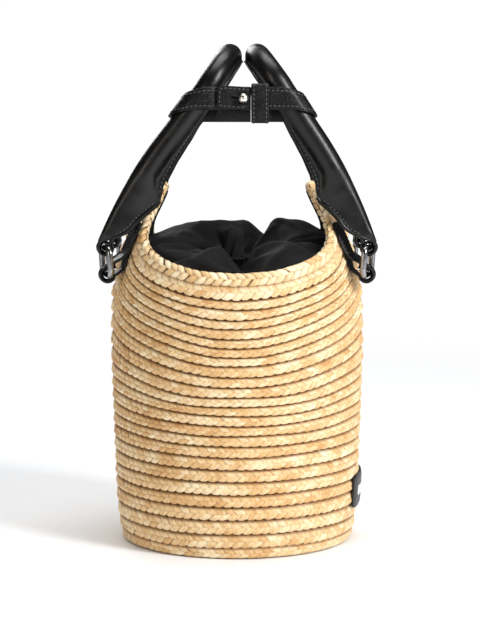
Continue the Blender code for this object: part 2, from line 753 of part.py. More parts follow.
def handle_pivot(side):
    return (side * TOP_EYE[0], -HARDWARE_Y, TOP_EYE[1])


def handle_frames(side):
    """The handle's axis from the near foot over the arc to the far foot.

    Returns a list of (point, inward normal, sideways axis), and the heights before the lean.
    """
    leg_x = pchip(LEG_AXIS)
    leg = [(float(leg_x(z)), -HARDWARE_Y, z) for z in LEG_STATIONS]
    foot_x, foot_z = ARC_FOOT
    apex_x, apex_z = APEX[side]
    arc = []
    for k in range(ARC_STEPS + 1):
        a = math.radians(180.0 * k / ARC_STEPS)
        rise = math.sin(a)
        x = foot_x + (apex_x - foot_x) * rise
        arc.append((x, -HARDWARE_Y * math.cos(a), foot_z + (apex_z - foot_z) * rise))
    upright = leg + arc + [(x, HARDWARE_Y, z) for x, _, z in leg[::-1]]

    # lean the whole handle about its eyes
    lean = HANDLE_LEAN / (LEAN_REACH_Z - TOP_EYE[1])
    c, s = math.cos(lean), math.sin(lean)
    eye_x, eye_z = side * TOP_EYE[0], TOP_EYE[1]
    points = []
    for x, y, z in upright:
        dx, dz = side * x - eye_x, z - eye_z
        points.append(np.array([eye_x + dx * c + dz * s, y, eye_z - dx * s + dz * c]))

    first, last = len(leg), len(points) - len(leg)
    arc_rise = points[first] - points[first + ARC_STEPS // 2]
    frames = []
    for i, point in enumerate(points):
        tangent = unit(points[min(i + 1, len(points) - 1)] - points[max(i - 1, 0)])
        # the arc keeps one normal, square to its own plane
        slope = arc_rise if first <= i < last else tangent
        slope = unit(np.array([slope[0], 0.0, slope[2]]))
        normal = np.array([-slope[2], 0.0, slope[0]])
        if normal[0] * side > 0:
            normal = -normal
        frames.append((point, normal, unit(np.cross(tangent, normal))))
    return frames, [z for _, _, z in upright]


def build_handle_cover(name, side):
    sections = []
    for (point, normal, sideways), z in zip(*handle_frames(side)):
        half = cover_profile(z)
        outline = half + [(a, -b) for a, b in half[1:-1][::-1]]
        sections.append([point + normal * a + sideways * b for a, b in outline])
    cover = loft(name, sections, HANDLE_LEATHER, origin=handle_pivot(side))
    for end in ENDS.values():
        add_eye(cover, side * TOP_EYE[0], end * HARDWARE_Y, TOP_EYE[1])


def build_handle_core(name, side):
    """The cord core, a plain round rod inside the rolled part."""
    sections = [
        circle_section(point, CORE_R, normal, sideways, 10)
        for (point, normal, sideways), z in zip(*handle_frames(side))
        if z > CORE_FROM_Z
    ]
    loft(name, sections, CORE, origin=handle_pivot(side))


# ---------------------------------------------------------------- closure strap bands
WRAP_IN_R = TUBE_R + GAP + 0.15       # the band's loop round a leg
WRAP_OUT_R = WRAP_IN_R + STRAP_T
WRAP_MID_R = (WRAP_IN_R + WRAP_OUT_R) / 2
WRAP_FRONT_Y = -HARDWARE_Y - WRAP_MID_R   # where the loop leaves the leg, -Y side
WRAP_REAR_Y = -HARDWARE_Y + WRAP_MID_R    # and +Y side


def leg_line(side):
    """The near leg's axis by the strap: a point and its upward unit direction."""
    frames, heights = handle_frames(side)
    i = heights.index(STRAP_LEG_Z)
    low, high = frames[i][0], frames[i + 2][0]
    return low, unit(high - low)


LEG_LINES = {side: leg_line(side) for side in SIDES.values()}


def leg_x_at(side, z):
    point, direction = LEG_LINES[side]
    return float((point + direction * ((z - point[2]) / direction[2]))[0])


def wrap_point(side, z, radius, psi):
    """Where a cylinder round the leg's axis has height z.

    psi is the turn: 0 outermost, -90 degrees the near side, +90 degrees the far side.
    """
    point, direction = LEG_LINES[side]
    inward = unit(np.array([-side * abs(direction[2]), 0.0, -abs(direction[0])]))
    spoke = radius * (-math.cos(psi) * inward + math.sin(psi) * np.array([0.0, 1.0, 0.0]))
    t = (z - point[2] - spoke[2]) / direction[2]
    return point + direction * t + spoke


def band_heights(centre_z):
    """Heights of the band section's eight points: inner face up, then outer face down."""
    bottom, top = centre_z - STRAP_H / 2, centre_z + STRAP_H / 2
    low, high = bottom + STRAP_EDGE, top - STRAP_EDGE
    return [low, high, top, top, high, low, bottom, bottom]


def tail_section(x, y, centre_z, inner_sign):
    """A straight part's section; inner_sign is the Y direction its inner face looks in."""
    t = STRAP_T / 2
    depths = [t, t, t * 0.4, -t * 0.4, -t, -t, -t * 0.4, t * 0.4]
    return [
        np.array([x, y + inner_sign * d, z])
        for d, z in zip(depths, band_heights(centre_z))
    ]


def wrap_section(side, psi, centre_z):
    q = STRAP_T * 0.2
    under, over = WRAP_MID_R - q, WRAP_MID_R + q
    radii = [WRAP_IN_R, WRAP_IN_R, under, over, WRAP_OUT_R, WRAP_OUT_R, over, under]
    return [wrap_point(side, z, r, psi) for r, z in zip(radii, band_heights(centre_z))]


def build_band(name, side, back_tail, front_tail):
    """A band from its back tail round the outside of the leg to its front tail.

    The tails are (x, y of the band's middle).
    """
    sections = [tail_section(x, y, STRAP_BACK_Z, -1) for x, y in back_tail]
    for degrees in (90, 65, 40, 15, -15, -40, -65, -90):
        f = (90 - degrees) / 180.0
        centre_z = STRAP_BACK_Z * (1 - f) + STRAP_Z * f
        sections.append(wrap_section(side, math.radians(degrees), centre_z))
    sections += [tail_section(x, y, STRAP_Z, 1) for x, y in front_tail]
    return loft(name, sections, STRAP_LEATHER, origin=handle_pivot(side))


def build_strap_band_back():
    """The back handle's band: the stud tail in front, a short tail behind."""
    leg_x = leg_x_at(-1, STRAP_Z)
    leg_back_x = leg_x_at(-1, STRAP_BACK_Z)
    back_tail = [
        (KEEPER_X[0] - 0.2, BACK_BAND_Y),
        (-8.0, BACK_BAND_Y),
        (leg_back_x + 19.5, WRAP_REAR_Y - 4.3),
        (leg_back_x + 12.5, WRAP_REAR_Y - 1.5),
    ]
    front_tail = [
        (leg_x + 8.6, WRAP_FRONT_Y + 0.4),
        (TIP_X[0] - 1.0, TAIL_Y - 0.15),
        (STUD_X - 8, TAIL_Y),
        (KEEPER_X[0] - 0.6, TAIL_Y),
    ]
    band = build_band("strap_band_back", -1, back_tail, front_tail)
    cut_round_hole(band, (STUD_X, TAIL_Y, STRAP_Z), radius=1.75, half_length=3.0, steps=16)


def build_strap_band_front():
    """The front handle's band: its front tail runs through the keeper."""
    leg_x = leg_x_at(1, STRAP_Z)
    leg_back_x = leg_x_at(1, STRAP_BACK_Z)
    tip_mid_y = TIP_Y + TIP_T / 2
    back_tail = [
        (KEEPER_X[0] + 0.2, BACK_BAND_Y),
        (leg_back_x - 26.0, BACK_BAND_Y),
        (leg_back_x - 19.5, WRAP_REAR_Y - 4.3),
        (leg_back_x - 12.5, WRAP_REAR_Y - 1.5),
    ]
    front_tail = [
        (leg_x - 9.0, WRAP_FRONT_Y),
        (KEEPER_X[1] + 1.0, tip_mid_y),
        (KEEPER_X[0] - 0.1, tip_mid_y),
    ]
    build_band("strap_band_front", 1, back_tail, front_tail)


# ---------------------------------------------------------------- keeper, tip and stud
def build_strap_keeper():
    """A leather loop round the front band."""
    t, bevel = 1.6, 0.5
    inner_corner, outer_corner = 0.5, 2.1
    y0, y1 = TIP_Y - GAP, TIP_Y + TIP_T + GAP
    z0, z1 = KEEPER_Z
    x0, x1 = KEEPER_X
    inner = rounded_rectangle(y0, y1, z0, z1, inner_corner, inner_corner)
    outer = rounded_rectangle(y0 - t, y1 + t, z0 - t, z1 + t, outer_corner, outer_corner)
    sections = []
    for (yi, zi), (yo, zo) in zip(inner, outer):
        ym, zm = yo * 0.8 + yi * 0.2, zo * 0.8 + zi * 0.2
        sections.append([
            np.array([x0, yi, zi]), np.array([x1, yi, zi]), np.array([x1, ym, zm]),
            np.array([x1 - bevel, yo, zo]), np.array([x0 + bevel, yo, zo]),
            np.array([x0, ym, zm]),
        ])
    loft("strap_keeper", sections, STRAP_LEATHER, closed=True, origin=handle_pivot(1))


def slit_cutter():
    """A thin box that runs from the button hole towards -X."""
    corners = [
        np.array([x, y, z])
        for x in (STUD_X - 8.2, STUD_X - 2.0)
        for y in (TIP_Y - 2, TIP_Y + 4)
        for z in (STRAP_Z - 0.55, STRAP_Z + 0.55)
    ]
    faces = [(0, 1, 3, 2), (4, 6, 7, 5), (0, 4, 5, 1), (2, 3, 7, 6), (0, 2, 6, 4), (1, 5, 7, 3)]
    return body("slit", corners, faces, None)


def build_strap_tip():
    """The buttoning end, in front of the stud tail, its front edge bevelled."""
    x0, x1 = TIP_X
    mid_x = (x0 + x1) / 2
    half = STRAP_H / 2 - 0.1
    shrink, bevel_depth = 0.7, 0.35
    outline = rounded_rectangle(x0, x1, STRAP_Z - half, STRAP_Z + half, radius_u0=1.8, radius_u1=0.4)
    inset = [
        (
            (x - mid_x) * (1 - shrink / (x1 - x0)) + mid_x,
            (z - STRAP_Z) * (1 - shrink / STRAP_H) + STRAP_Z,
        )
        for x, z in outline
    ]
    sections = [
        [np.array([x, TIP_Y, z]) for x, z in inset],
        [np.array([x, TIP_Y + bevel_depth, z]) for x, z in outline],
        [np.array([x, TIP_Y + TIP_T, z]) for x, z in outline],
    ]
    tip = loft("strap_tip", sections, STRAP_LEATHER, origin=(x1, TIP_Y, STRAP_Z))
    hole_centre = (STUD_X - 0.3, TIP_Y + TIP_T / 2, STRAP_Z)
    cut_round_hole(tip, hole_centre, radius=3.75, half_length=4.0, steps=24)
    combine(tip, slit_cutter(), "DIFFERENCE")


def build_stud():
    """Ball head, neck, seat, post through the tail and back head. Heights run along -Y."""
    ball_r, neck_r, post_r, seat_r = 3.35, 1.35, 1.4, 2.9
    ball = -(TIP_Y - 2.2)
    seat = -(TAIL_Y - STRAP_T / 2) + 0.1
    back = -(TAIL_Y + STRAP_T / 2) - 0.1
    profile = [(0, ball + ball_r)]
    for degrees in (64, 38, 12, -14, -40):
        a = math.radians(degrees)
        profile.append((ball_r * math.cos(a), ball + ball_r * math.sin(a)))
    profile += [
        (neck_r, ball - 3.3), (neck_r, seat + 0.7), (seat_r, seat + 0.6), (seat_r, seat),
        (post_r, seat), (post_r, back), (seat_r, back), (seat_r, back - 0.7),
        (2.4, back - 0.95), (0, back - 0.95),
    ]
    revolved(
        "stud", profile, STUD_METAL, steps=16,
        matrix=axis_along_y(STUD_X, 0, STRAP_Z),
        origin=(STUD_X, TAIL_Y, STRAP_Z),
    )


# ---------------------------------------------------------------- build
build_straw_wall()
build_straw_base()
build_base_board()
build_rim_braid()
build_lining_pouch()
build_gathered_collar()
build_drawstring_cord()
build_label_patch()
for side_name, side_sign in SIDES.items():
    for end_name, end_sign in ENDS.items():
        build_ring(f"ring_{side_name}_{end_name}", side_sign, end_sign)
        build_tab(f"tab_{side_name}_{end_name}", side_sign, end_sign)
for side_name, side_sign in SIDES.items():
    build_handle_cover(f"handle_cover_{side_name}", side_sign)
    build_handle_core(f"handle_core_{side_name}", side_sign)
build_strap_band_back()
build_strap_band_front()
build_strap_keeper()
build_strap_tip()
build_stud()
bpy.context.view_layer.update()
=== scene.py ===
"""Straw bucket bag: plaited leaves, lining, gathered closure, rings, tabs, handles and strap.

The bag stands on z = 0 with its axis along +Z. The wall rises into two tongues, at -x (named back)
and +x (named front), each with a handle whose legs stand at y = -38 (near) and y = +38 (far).
The strap joins the near legs and the label is at +x. The camera looks along +y.
Sizes are in millimetres; meshes are stored in metres.
"""
import math

import bmesh
import bpy
import numpy as np
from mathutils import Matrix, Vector


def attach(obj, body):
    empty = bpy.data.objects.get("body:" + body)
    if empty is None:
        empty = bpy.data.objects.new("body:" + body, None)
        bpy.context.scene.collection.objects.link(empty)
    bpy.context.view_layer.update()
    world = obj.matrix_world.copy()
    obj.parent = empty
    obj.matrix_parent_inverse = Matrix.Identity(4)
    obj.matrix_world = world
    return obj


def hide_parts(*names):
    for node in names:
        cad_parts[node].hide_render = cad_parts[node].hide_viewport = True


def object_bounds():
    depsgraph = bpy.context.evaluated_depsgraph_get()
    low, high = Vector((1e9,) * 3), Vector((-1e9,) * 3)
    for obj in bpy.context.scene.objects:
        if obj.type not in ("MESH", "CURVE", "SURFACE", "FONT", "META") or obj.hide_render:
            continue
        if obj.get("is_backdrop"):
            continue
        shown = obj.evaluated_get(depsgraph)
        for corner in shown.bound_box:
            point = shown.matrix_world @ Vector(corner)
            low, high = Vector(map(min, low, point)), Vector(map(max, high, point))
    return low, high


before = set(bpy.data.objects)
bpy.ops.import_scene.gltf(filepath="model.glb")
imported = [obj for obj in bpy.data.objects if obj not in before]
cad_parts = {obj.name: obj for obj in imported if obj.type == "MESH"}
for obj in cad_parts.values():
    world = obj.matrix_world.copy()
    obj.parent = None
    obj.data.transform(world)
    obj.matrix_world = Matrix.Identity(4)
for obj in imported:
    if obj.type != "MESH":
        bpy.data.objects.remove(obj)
CAD_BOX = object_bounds()
MM = 0.001
rng = np.random.default_rng(20)

# ---------------------------------------------------------------- shared dimensions
SIDES = {"back": -1, "front": 1}  # sign of x
ENDS = {"near": -1, "far": 1}  # sign of y
UP = np.array([0.0, 0.0, 1.0])
GAP = 0.3
LEG_Y = 38.0
LOW_EYE, TOP_EYE = (88.0, 187.0), (89.2, 205.4)  # x, z of the loops on a ring's two bars
EYE_WAIST = 2.62  # narrowest radius of a loop's bore

# wall: radius against height along the tongues
PROFILE_Z = [0, 1.6, 5.5, 12, 20, 34, 62, 98, 141, 165, 185, 205, 222, 235, 245, 256]
PROFILE_R = [76.6, 79.4, 81.2, 82.3, 83.4, 84.4, 85.5, 86.6,
             87.6, 87.3, 85.3, 79.8, 71.2, 61.6, 54.4, 46.5]
LEAN_FROM = 165.0  # above this the wall leans in
LEAN_SIDE = 0.30  # share of that lean kept at +-y
# rim: height against the angle from the nearer tongue, in degrees
RIM_PHI = [0, 8, 14, 18.5, 22.5, 26.5, 30.5, 35, 40.5, 47, 54, 62, 74, 90]
RIM_Z = [250.0, 249.8, 248.6, 246.0, 241.5, 233.5, 224.0,
         215.5, 209.0, 204.4, 200.6, 197.3, 193.6, 192.0]


# ---------------------------------------------------------------- curves and the wall surface
def pchip(xs, ys):
    """Smooth curve through the points that never overshoots them."""
    x, y = np.asarray(xs, float), np.asarray(ys, float)
    step = np.diff(x)
    slope = np.diff(y) / step
    tangent = np.zeros_like(y)
    tangent[0], tangent[-1] = slope[0], slope[-1]
    for i in range(1, len(x) - 1):
        if slope[i - 1] * slope[i] > 0:
            before, after = 2 * step[i] + step[i - 1], step[i] + 2 * step[i - 1]
            tangent[i] = (before + after) / (before / slope[i - 1] + after / slope[i])

    def curve(at):
        at = np.clip(np.asarray(at, float), x[0], x[-1])
        i = np.clip(np.searchsorted(x, at, side="right") - 1, 0, len(x) - 2)
        t = (at - x[i]) / step[i]
        return (
            (2 * t**3 - 3 * t**2 + 1) * y[i]
            + (t**3 - 2 * t**2 + t) * step[i] * tangent[i]
            + (-2 * t**3 + 3 * t**2) * y[i + 1]
            + (t**3 - t**2) * step[i] * tangent[i + 1]
        )

    return curve


def smoothstep(t):
    t = np.clip(t, 0, 1)
    return t * t * (3 - 2 * t)


def unit(v):
    return v / np.maximum(np.linalg.norm(v, axis=-1, keepdims=True), 1e-12)


def circle(steps):
    return np.linspace(0, 2 * math.pi, steps, endpoint=False)


def run_lengths(path):
    """Distance along an open path at each of its points."""
    return np.concatenate([[0], np.cumsum(np.linalg.norm(np.diff(path, axis=0), axis=1))])


def catmull(points, steps):
    """Denser points through an open polyline."""
    points = np.asarray(points, float)
    first, last = [2 * points[0] - points[1]], [2 * points[-1] - points[-2]]
    padded = np.concatenate([first, points, last])
    out = []
    for i in range(len(points) - 1):
        p0, p1, p2, p3 = padded[i:i + 4]
        for k in range(steps):
            t = k / steps
            out.append(0.5 * (
                (2 * p1) + (-p0 + p2) * t + (2 * p0 - 5 * p1 + 4 * p2 - p3) * t * t
                + (-p0 + 3 * p1 - 3 * p2 + p3) * t**3
            ))
    out.append(points[-1])
    return np.array(out)


tongue_radius = pchip(PROFILE_Z, PROFILE_R)
rim_curve = pchip(RIM_PHI, RIM_Z)
LEAN_RADIUS = float(tongue_radius(LEAN_FROM))


def fold_phi(theta):
    """Angle from the nearer tongue, 0 to 90 degrees."""
    a = np.degrees(np.asarray(theta, float)) % 180.0
    return np.minimum(a, 180.0 - a)


def rim_height(theta):
    return rim_curve(fold_phi(theta))


def wall_radius(theta, z):
    z = np.asarray(z, float)
    base = tongue_radius(z)
    keep = 1 - (1 - LEAN_SIDE) * smoothstep((fold_phi(theta) - 22.0) / 68.0)
    return np.where(z > LEAN_FROM, LEAN_RADIUS - (LEAN_RADIUS - base) * keep, base)


def wall_xyz(theta, z):
    theta, z = np.broadcast_arrays(np.asarray(theta, float), np.asarray(z, float))
    r = wall_radius(theta, z)
    return np.stack([r * np.cos(theta), r * np.sin(theta), z], -1)


def wall_normal(theta, z):
    theta, z = np.asarray(theta), np.asarray(z)
    rise = wall_xyz(theta, z + 0.6) - wall_xyz(theta, np.maximum(z - 0.6, 0))
    turn = wall_xyz(theta + 0.01, z) - wall_xyz(theta - 0.01, z)
    return unit(np.cross(turn, rise))


def wall_at(theta, z, offset):
    """Point on the wall, moved outwards by the offset."""
    return wall_xyz(theta, z) + wall_normal(theta, z) * np.asarray(offset, float)[..., None]


# ---------------------------------------------------------------- shader graphs
class Graph:
    """Builds shader nodes. An input takes a value or another node's output."""

    def __init__(self, tree):
        self.tree = tree

    def feed(self, node, inputs):
        for key, value in inputs.items():
            if isinstance(value, bpy.types.NodeSocket):
                self.tree.links.new(value, node.inputs[key])
            elif value is not None:
                node.inputs[key].default_value = value

    def node(self, kind, inputs=None, **settings):
        node = self.tree.nodes.new("ShaderNode" + kind)
        for key, value in settings.items():
            setattr(node, key, value)
        self.feed(node, inputs or {})
        return node

    def math(self, operation, a, b=None, clamp=False):
        return self.node("Math", {0: a, 1: b}, operation=operation, use_clamp=clamp).outputs[0]

    def add(self, a, b, clamp=False):
        return self.math("ADD", a, b, clamp)

    def subtract(self, a, b):
        return self.math("SUBTRACT", a, b)

    def multiply(self, a, b):
        return self.math("MULTIPLY", a, b)

    def stretch(self, vector, factors):
        return self.node("VectorMath", {0: vector, 1: factors}, operation="MULTIPLY").outputs[0]

    def separate(self, vector):
        return self.node("SeparateXYZ", {0: vector}).outputs

    def noise(self, vector, scale, detail=3.0, rough=0.5):
        inputs = {"Vector": vector, "Scale": scale, "Detail": detail, "Roughness": rough}
        return self.node("TexNoise", inputs).outputs["Fac"]

    def ramp(self, factor, stops):
        node = self.node("ValToRGB", {0: factor})
        elements = node.color_ramp.elements
        while len(elements) < len(stops):
            elements.new(0.5)
        for element, (position, colour) in zip(elements, stops):
            element.position = position
            element.color = (*colour, 1.0)
        return node.outputs["Color"]

    def mix(self, factor, a, b):
        """Colour a where the factor is 0, b where it is 1."""
        a, b = (c if isinstance(c, bpy.types.NodeSocket) else (*c, 1.0) for c in (a, b))
        inputs = {0: factor, 6: a, 7: b}
        return self.node("Mix", inputs, data_type="RGBA", blend_type="MIX").outputs[2]

    def remap(self, value, source, to=(0.0, 1.0)):
        inputs = {0: value, 1: source[0], 2: source[1], 3: to[0], 4: to[1]}
        return self.node("MapRange", inputs).outputs[0]

    def bump(self, height, strength, distance, normal=None):
        return self.node("Bump", {
            "Strength": strength, "Distance": distance, "Height": height, "Normal": normal,
        }).outputs[0]

    def attribute(self, name, output="Vector"):
        return self.node("Attribute", attribute_name=name).outputs[output]

    def millimetres(self):
        """Object coordinates in millimetres."""
        return self.stretch(self.node("TexCoord").outputs["Object"], (1000.0, 1000.0, 1000.0))


def new_material(name):
    material = bpy.data.materials.new(name)
    material.use_nodes = True
    tree = material.node_tree
    return material, Graph(tree), tree.nodes["Principled BSDF"]


def scaled(colour, factor, plus=0.0):
    return tuple(min(1.0, c * factor + plus) for c in colour)


def straw_material(name, pale, mid, deep, edge, rough=0.46):
    """Streaked leaves, from their coordinates: along 0..1, across -1..1, and a random identity."""
    material, g, shader = new_material(name)
    # edge is the colour of the painted shade at leaf edges, tips and row gaps, and of the straw's
    # dark spots
    along, across, identity = g.separate(g.attribute("leaf"))

    def leaf_noise(factors, rough):
        scales = {k: g.multiply(v, f) for k, (v, f) in enumerate(zip(
            (along, across, identity), factors))}
        return g.noise(g.node("CombineXYZ", scales).outputs[0], scale=1.0, rough=rough)

    streak = leaf_noise((1.3, 5.5, 61.0), rough=0.6)
    fine = leaf_noise((1.0, 13.0, 43.0), rough=0.65)
    tone = g.attribute("tone", "Fac")
    shade = g.add(g.multiply(g.subtract(streak, 0.5), 1.25), tone)
    shade = g.add(shade, g.multiply(g.subtract(fine, 0.5), 0.75), clamp=True)
    stops = [(0.0, deep), (0.42, mid), (0.74, pale), (1.0, scaled(pale, 1.08, plus=0.02))]
    colour = g.ramp(shade, stops)
    # painted shade: darker long edges, tips and gaps between rows; also darker scattered spots of
    # the straw's own colour
    side = g.math("POWER", g.math("ABSOLUTE", across), 5.0)
    colour = g.mix(g.multiply(side, 0.62), colour, edge)
    colour = g.mix(g.remap(along, (0.86, 1.0), to=(0.0, 0.35)), colour, edge)
    colour = g.mix(g.attribute("painted_gap_shade", "Fac"), colour, edge)
    spots = g.noise(g.millimetres(), scale=0.9, detail=2.0)
    colour = g.mix(g.remap(spots, (0.66, 0.78), to=(0.0, 0.45)), colour, edge)
    relief = g.add(fine, g.multiply(streak, 0.6))
    g.feed(shader, {
        "Base Color": colour,
        "Roughness": g.remap(fine, (0.3, 0.7), to=(rough - 0.08, rough + 0.12)),
        "Specular IOR Level": 0.42,
        "Sheen Weight": 0.08,
        "Sheen Roughness": 0.4,
        "Normal": g.bump(relief, strength=0.42, distance=0.00045),
    })
    return material


def leather_material(name, colour, rough, grain, grain_size, crease, coat, specular=0.36):
    material, g, shader = new_material(name)
    place = g.millimetres()
    cells = g.node("TexVoronoi", {"Vector": place, "Scale": 1.0 / grain_size},
                   feature="DISTANCE_TO_EDGE").outputs["Distance"]
    pores = g.noise(place, scale=2.2 / grain_size, detail=2.0)
    soft = g.noise(place, scale=0.09, detail=4.0, rough=0.55)
    fine = g.noise(place, scale=0.55, rough=0.6)
    tint = g.mix(g.remap(soft, (0.35, 0.7)), scaled(colour, 0.8), scaled(colour, 1.9))
    wear = g.remap(fine, (0.62, 0.8), to=(0.0, 0.35))
    tint = g.mix(wear, tint, scaled(colour, 2.6, plus=0.01))
    gloss = g.remap(soft, (0.3, 0.7), to=(rough - 0.06, rough + 0.08))
    relief = g.multiply(g.math("MINIMUM", cells, 0.25), 4.0)
    normal = g.bump(relief, strength=grain, distance=0.00012)
    normal = g.bump(pores, strength=grain * 0.8, distance=0.0001, normal=normal)
    g.feed(shader, {
        "Base Color": tint,
        "Roughness": g.add(gloss, g.multiply(pores, 0.14)),
        "Specular IOR Level": specular,
        "Coat Weight": coat,
        "Coat Roughness": 0.22,
        "Normal": g.bump(soft, strength=crease, distance=0.0012, normal=normal),
    })
    return material


def fabric_material(name, colour, sheen, rough=0.72, weave=0.55, pitch=0.6):
    material, g, shader = new_material(name)
    place = g.millimetres()
    x, y, z = g.separate(place)
    turns = 2 * math.pi / pitch
    warp = g.math("SINE", g.multiply(g.add(x, g.multiply(z, 0.83)), turns))
    weft = g.math("SINE", g.multiply(g.subtract(y, g.multiply(z, 0.79)), turns))
    threads = g.multiply(warp, weft)
    broad = g.noise(place, scale=0.05)
    lint = g.noise(place, scale=1.1, detail=2.0, rough=0.6)
    tint = g.mix(g.remap(broad, (0.35, 0.68)), scaled(colour, 0.8), scaled(colour, 1.35))
    lint_amount = g.remap(lint, (0.5, 0.8), to=(0.0, 0.25))
    normal = g.bump(threads, strength=weave, distance=0.00006)
    g.feed(shader, {
        "Base Color": g.mix(lint_amount, tint, scaled(colour, 2.2, plus=0.004)),
        "Roughness": g.remap(broad, (0.3, 0.7), to=(rough - 0.05, rough + 0.06)),
        "Specular IOR Level": 0.12,
        "Sheen Weight": sheen,
        "Sheen Roughness": 0.45,
        "Sheen Tint": (0.8, 0.78, 0.82, 1.0),
        "Normal": g.bump(broad, strength=0.22, distance=0.0015, normal=normal),
    })
    return material


def metal_material(name, colour, rough, dark):
    material, g, shader = new_material(name)
    place = g.millimetres()
    cloud = g.noise(place, scale=0.6, detail=4.0, rough=0.6)
    brushed = g.noise(g.stretch(place, (0.6, 4.0, 4.0)), scale=1.4, detail=2.0)
    g.feed(shader, {
        "Base Color": g.mix(g.remap(cloud, (0.35, 0.7)), scaled(colour, dark), colour),
        "Metallic": 1.0,
        "Roughness": g.remap(brushed, (0.3, 0.7), to=(rough - 0.05, rough + 0.08)),
        "Normal": g.bump(brushed, strength=0.06, distance=0.0001),
    })
    return material


def plain_material(name, colour, rough, bump, scale, spread):
    """One colour, mottled lighter and darker by the spread."""
    material, g, shader = new_material(name)
    mottle = g.noise(g.millimetres(), scale=scale, rough=0.6)
    g.feed(shader, {
        "Base Color": g.mix(mottle, scaled(colour, 1 - spread), scaled(colour, 1 + spread)),
        "Roughness": g.remap(mottle, (0.3, 0.7), to=(rough - 0.06, rough + 0.08)),
        "Normal": g.bump(mottle, strength=bump, distance=0.0002),
    })
    return material


# ---------------------------------------------------------------- materials
PALE_STRAW = (0.95, 0.79, 0.52)
# brown of the painted shade on the straw, also used for its own dark spots
SHADE_AND_SPOT_BROWN = (0.21, 0.078, 0.016)
BLACK = (0.0026, 0.0026, 0.0027)

STRAW = straw_material("straw_leaves", pale=PALE_STRAW, mid=(0.80, 0.52, 0.235),
                       deep=(0.56, 0.265, 0.082), edge=SHADE_AND_SPOT_BROWN)
RIM_STRAW = straw_material("straw_rim_leaves", pale=scaled(PALE_STRAW, 0.98),
                           mid=(0.80, 0.53, 0.245), deep=(0.56, 0.275, 0.09), edge=SHADE_AND_SPOT_BROWN)
BASE_STRAW = straw_material("straw_base_leaves", pale=(0.86, 0.68, 0.38), mid=(0.76, 0.52, 0.24),
                            deep=(0.55, 0.31, 0.11), edge=SHADE_AND_SPOT_BROWN, rough=0.55)
SHADOW = plain_material("straw_shadow", (0.125, 0.045, 0.011), rough=0.85, bump=0.5, scale=0.8,
                        spread=0.35)
HANDLE_LEATHER = leather_material("leather_handles", BLACK, rough=0.27, grain=0.14,
                                  grain_size=0.75, crease=0.20, coat=0.10)
STRAP_LEATHER = leather_material("leather_strap", (0.0022, 0.0022, 0.0023), rough=0.31, grain=1.0,
                                 grain_size=1.1, crease=0.40, coat=0.10, specular=0.24)
TAB_LEATHER = leather_material("leather_tabs", BLACK, rough=0.31, grain=0.35, grain_size=0.85,
                               crease=0.25, coat=0.08, specular=0.32)
# thread coloured grey rather than black: partly the thread's own colour, partly painted highlight
# for the glints on the stitches
THREAD_WITH_PAINTED_GLINT = plain_material("thread_and_painted_glint", (0.072, 0.072, 0.073), rough=0.40, bump=0.4, scale=3.0,
                        spread=0.3)
LINING = fabric_material("lining_cotton", (0.0085, 0.0080, 0.0088), sheen=0.05)
CLOSURE = fabric_material("closure_cotton", (0.0080, 0.0072, 0.0076), sheen=0.055)
CORD = fabric_material("cord_cotton", (0.008, 0.008, 0.0085), sheen=0.06, rough=0.7, weave=0.8,
                       pitch=1.1)
GUNMETAL = metal_material("gunmetal", (0.42, 0.42, 0.43), rough=0.20, dark=0.62)
STUD_METAL = plain_material("stud_plating", (0.80, 0.77, 0.70), rough=0.30, bump=0.01, scale=0.3,
                            spread=0.04)
STUD_METAL.node_tree.nodes["Principled BSDF"].inputs["Metallic"].default_value = 1.0
LABEL_RUBBER = plain_material("label_rubber", (0.0062, 0.0062, 0.0066), rough=0.42, bump=0.15,
                              scale=2.0, spread=0.3)
LABEL_MARKS = plain_material("label_marks", (0.78, 0.78, 0.77), rough=0.55, bump=0.15, scale=2.0,
                             spread=0.05)
BOARD = plain_material("fibre_board", (0.36, 0.29, 0.20), rough=0.9, bump=0.4, scale=1.2,
                       spread=0.25)
CORE = plain_material("core_cord", (0.62, 0.55, 0.44), rough=0.9, bump=0.6, scale=2.2, spread=0.2)


# ---------------------------------------------------------------- mesh helpers
def add_mesh(name, mesh, material, body, replaces=None, angle=60.0, attributes=None,
             recalc=True):
    verts, faces = mesh
    data = bpy.data.meshes.new(name)
    data.from_pydata((np.asarray(verts, float) * MM).tolist(), [], faces)
    data.materials.append(material)
    if recalc:
        bm = bmesh.new()
        bm.from_mesh(data)
        bmesh.ops.recalc_face_normals(bm, faces=bm.faces)
        bm.to_mesh(data)
        bm.free()
    data.polygons.foreach_set("use_smooth", [True] * len(data.polygons))
    data.set_sharp_from_angle(angle=math.radians(angle))
    for key, values in (attributes or {}).items():
        kind, field = ("FLOAT_VECTOR", "vector") if values.ndim == 2 else ("FLOAT", "value")
        attribute = data.attributes.new(key, kind, "POINT")
        attribute.data.foreach_set(field, np.asarray(values, np.float32).ravel())
    data.update()
    ob = bpy.data.objects.new(name, data)
    bpy.context.scene.collection.objects.link(ob)
    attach(ob, body)
    if replaces:
        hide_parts(replaces)
    return ob


def add_stitches(name, shells, body):
    add_mesh(name, shells.mesh(), THREAD_WITH_PAINTED_GLINT, body, recalc=False)


def grid_faces(rows, cols, wrap_rows=False, wrap_cols=True, start=0, flip=False):
    """Quads of a row-major grid of points."""
    i = np.arange(rows if wrap_rows else rows - 1)
    j = np.arange(cols if wrap_cols else cols - 1)
    i, j = np.meshgrid(i, j, indexing="ij")
    i2, j2 = (i + 1) % rows, (j + 1) % cols
    corners = [i * cols + j, i * cols + j2, i2 * cols + j2, i2 * cols + j]
    quads = np.stack(corners, -1).reshape(-1, 4) + start
    if flip:
        quads = quads[:, ::-1]
    return quads.tolist()


def loft(sections, closed=False):
    """Skin over closed sections, with end caps unless the row of sections is itself closed."""
    sections = np.asarray(sections, float)
    count, size = sections.shape[:2]
    faces = grid_faces(count, size, wrap_rows=closed)
    if not closed:
        faces.append(list(range(size))[::-1])
        faces.append([(count - 1) * size + k for k in range(size)])
    return sections.reshape(-1, 3), faces


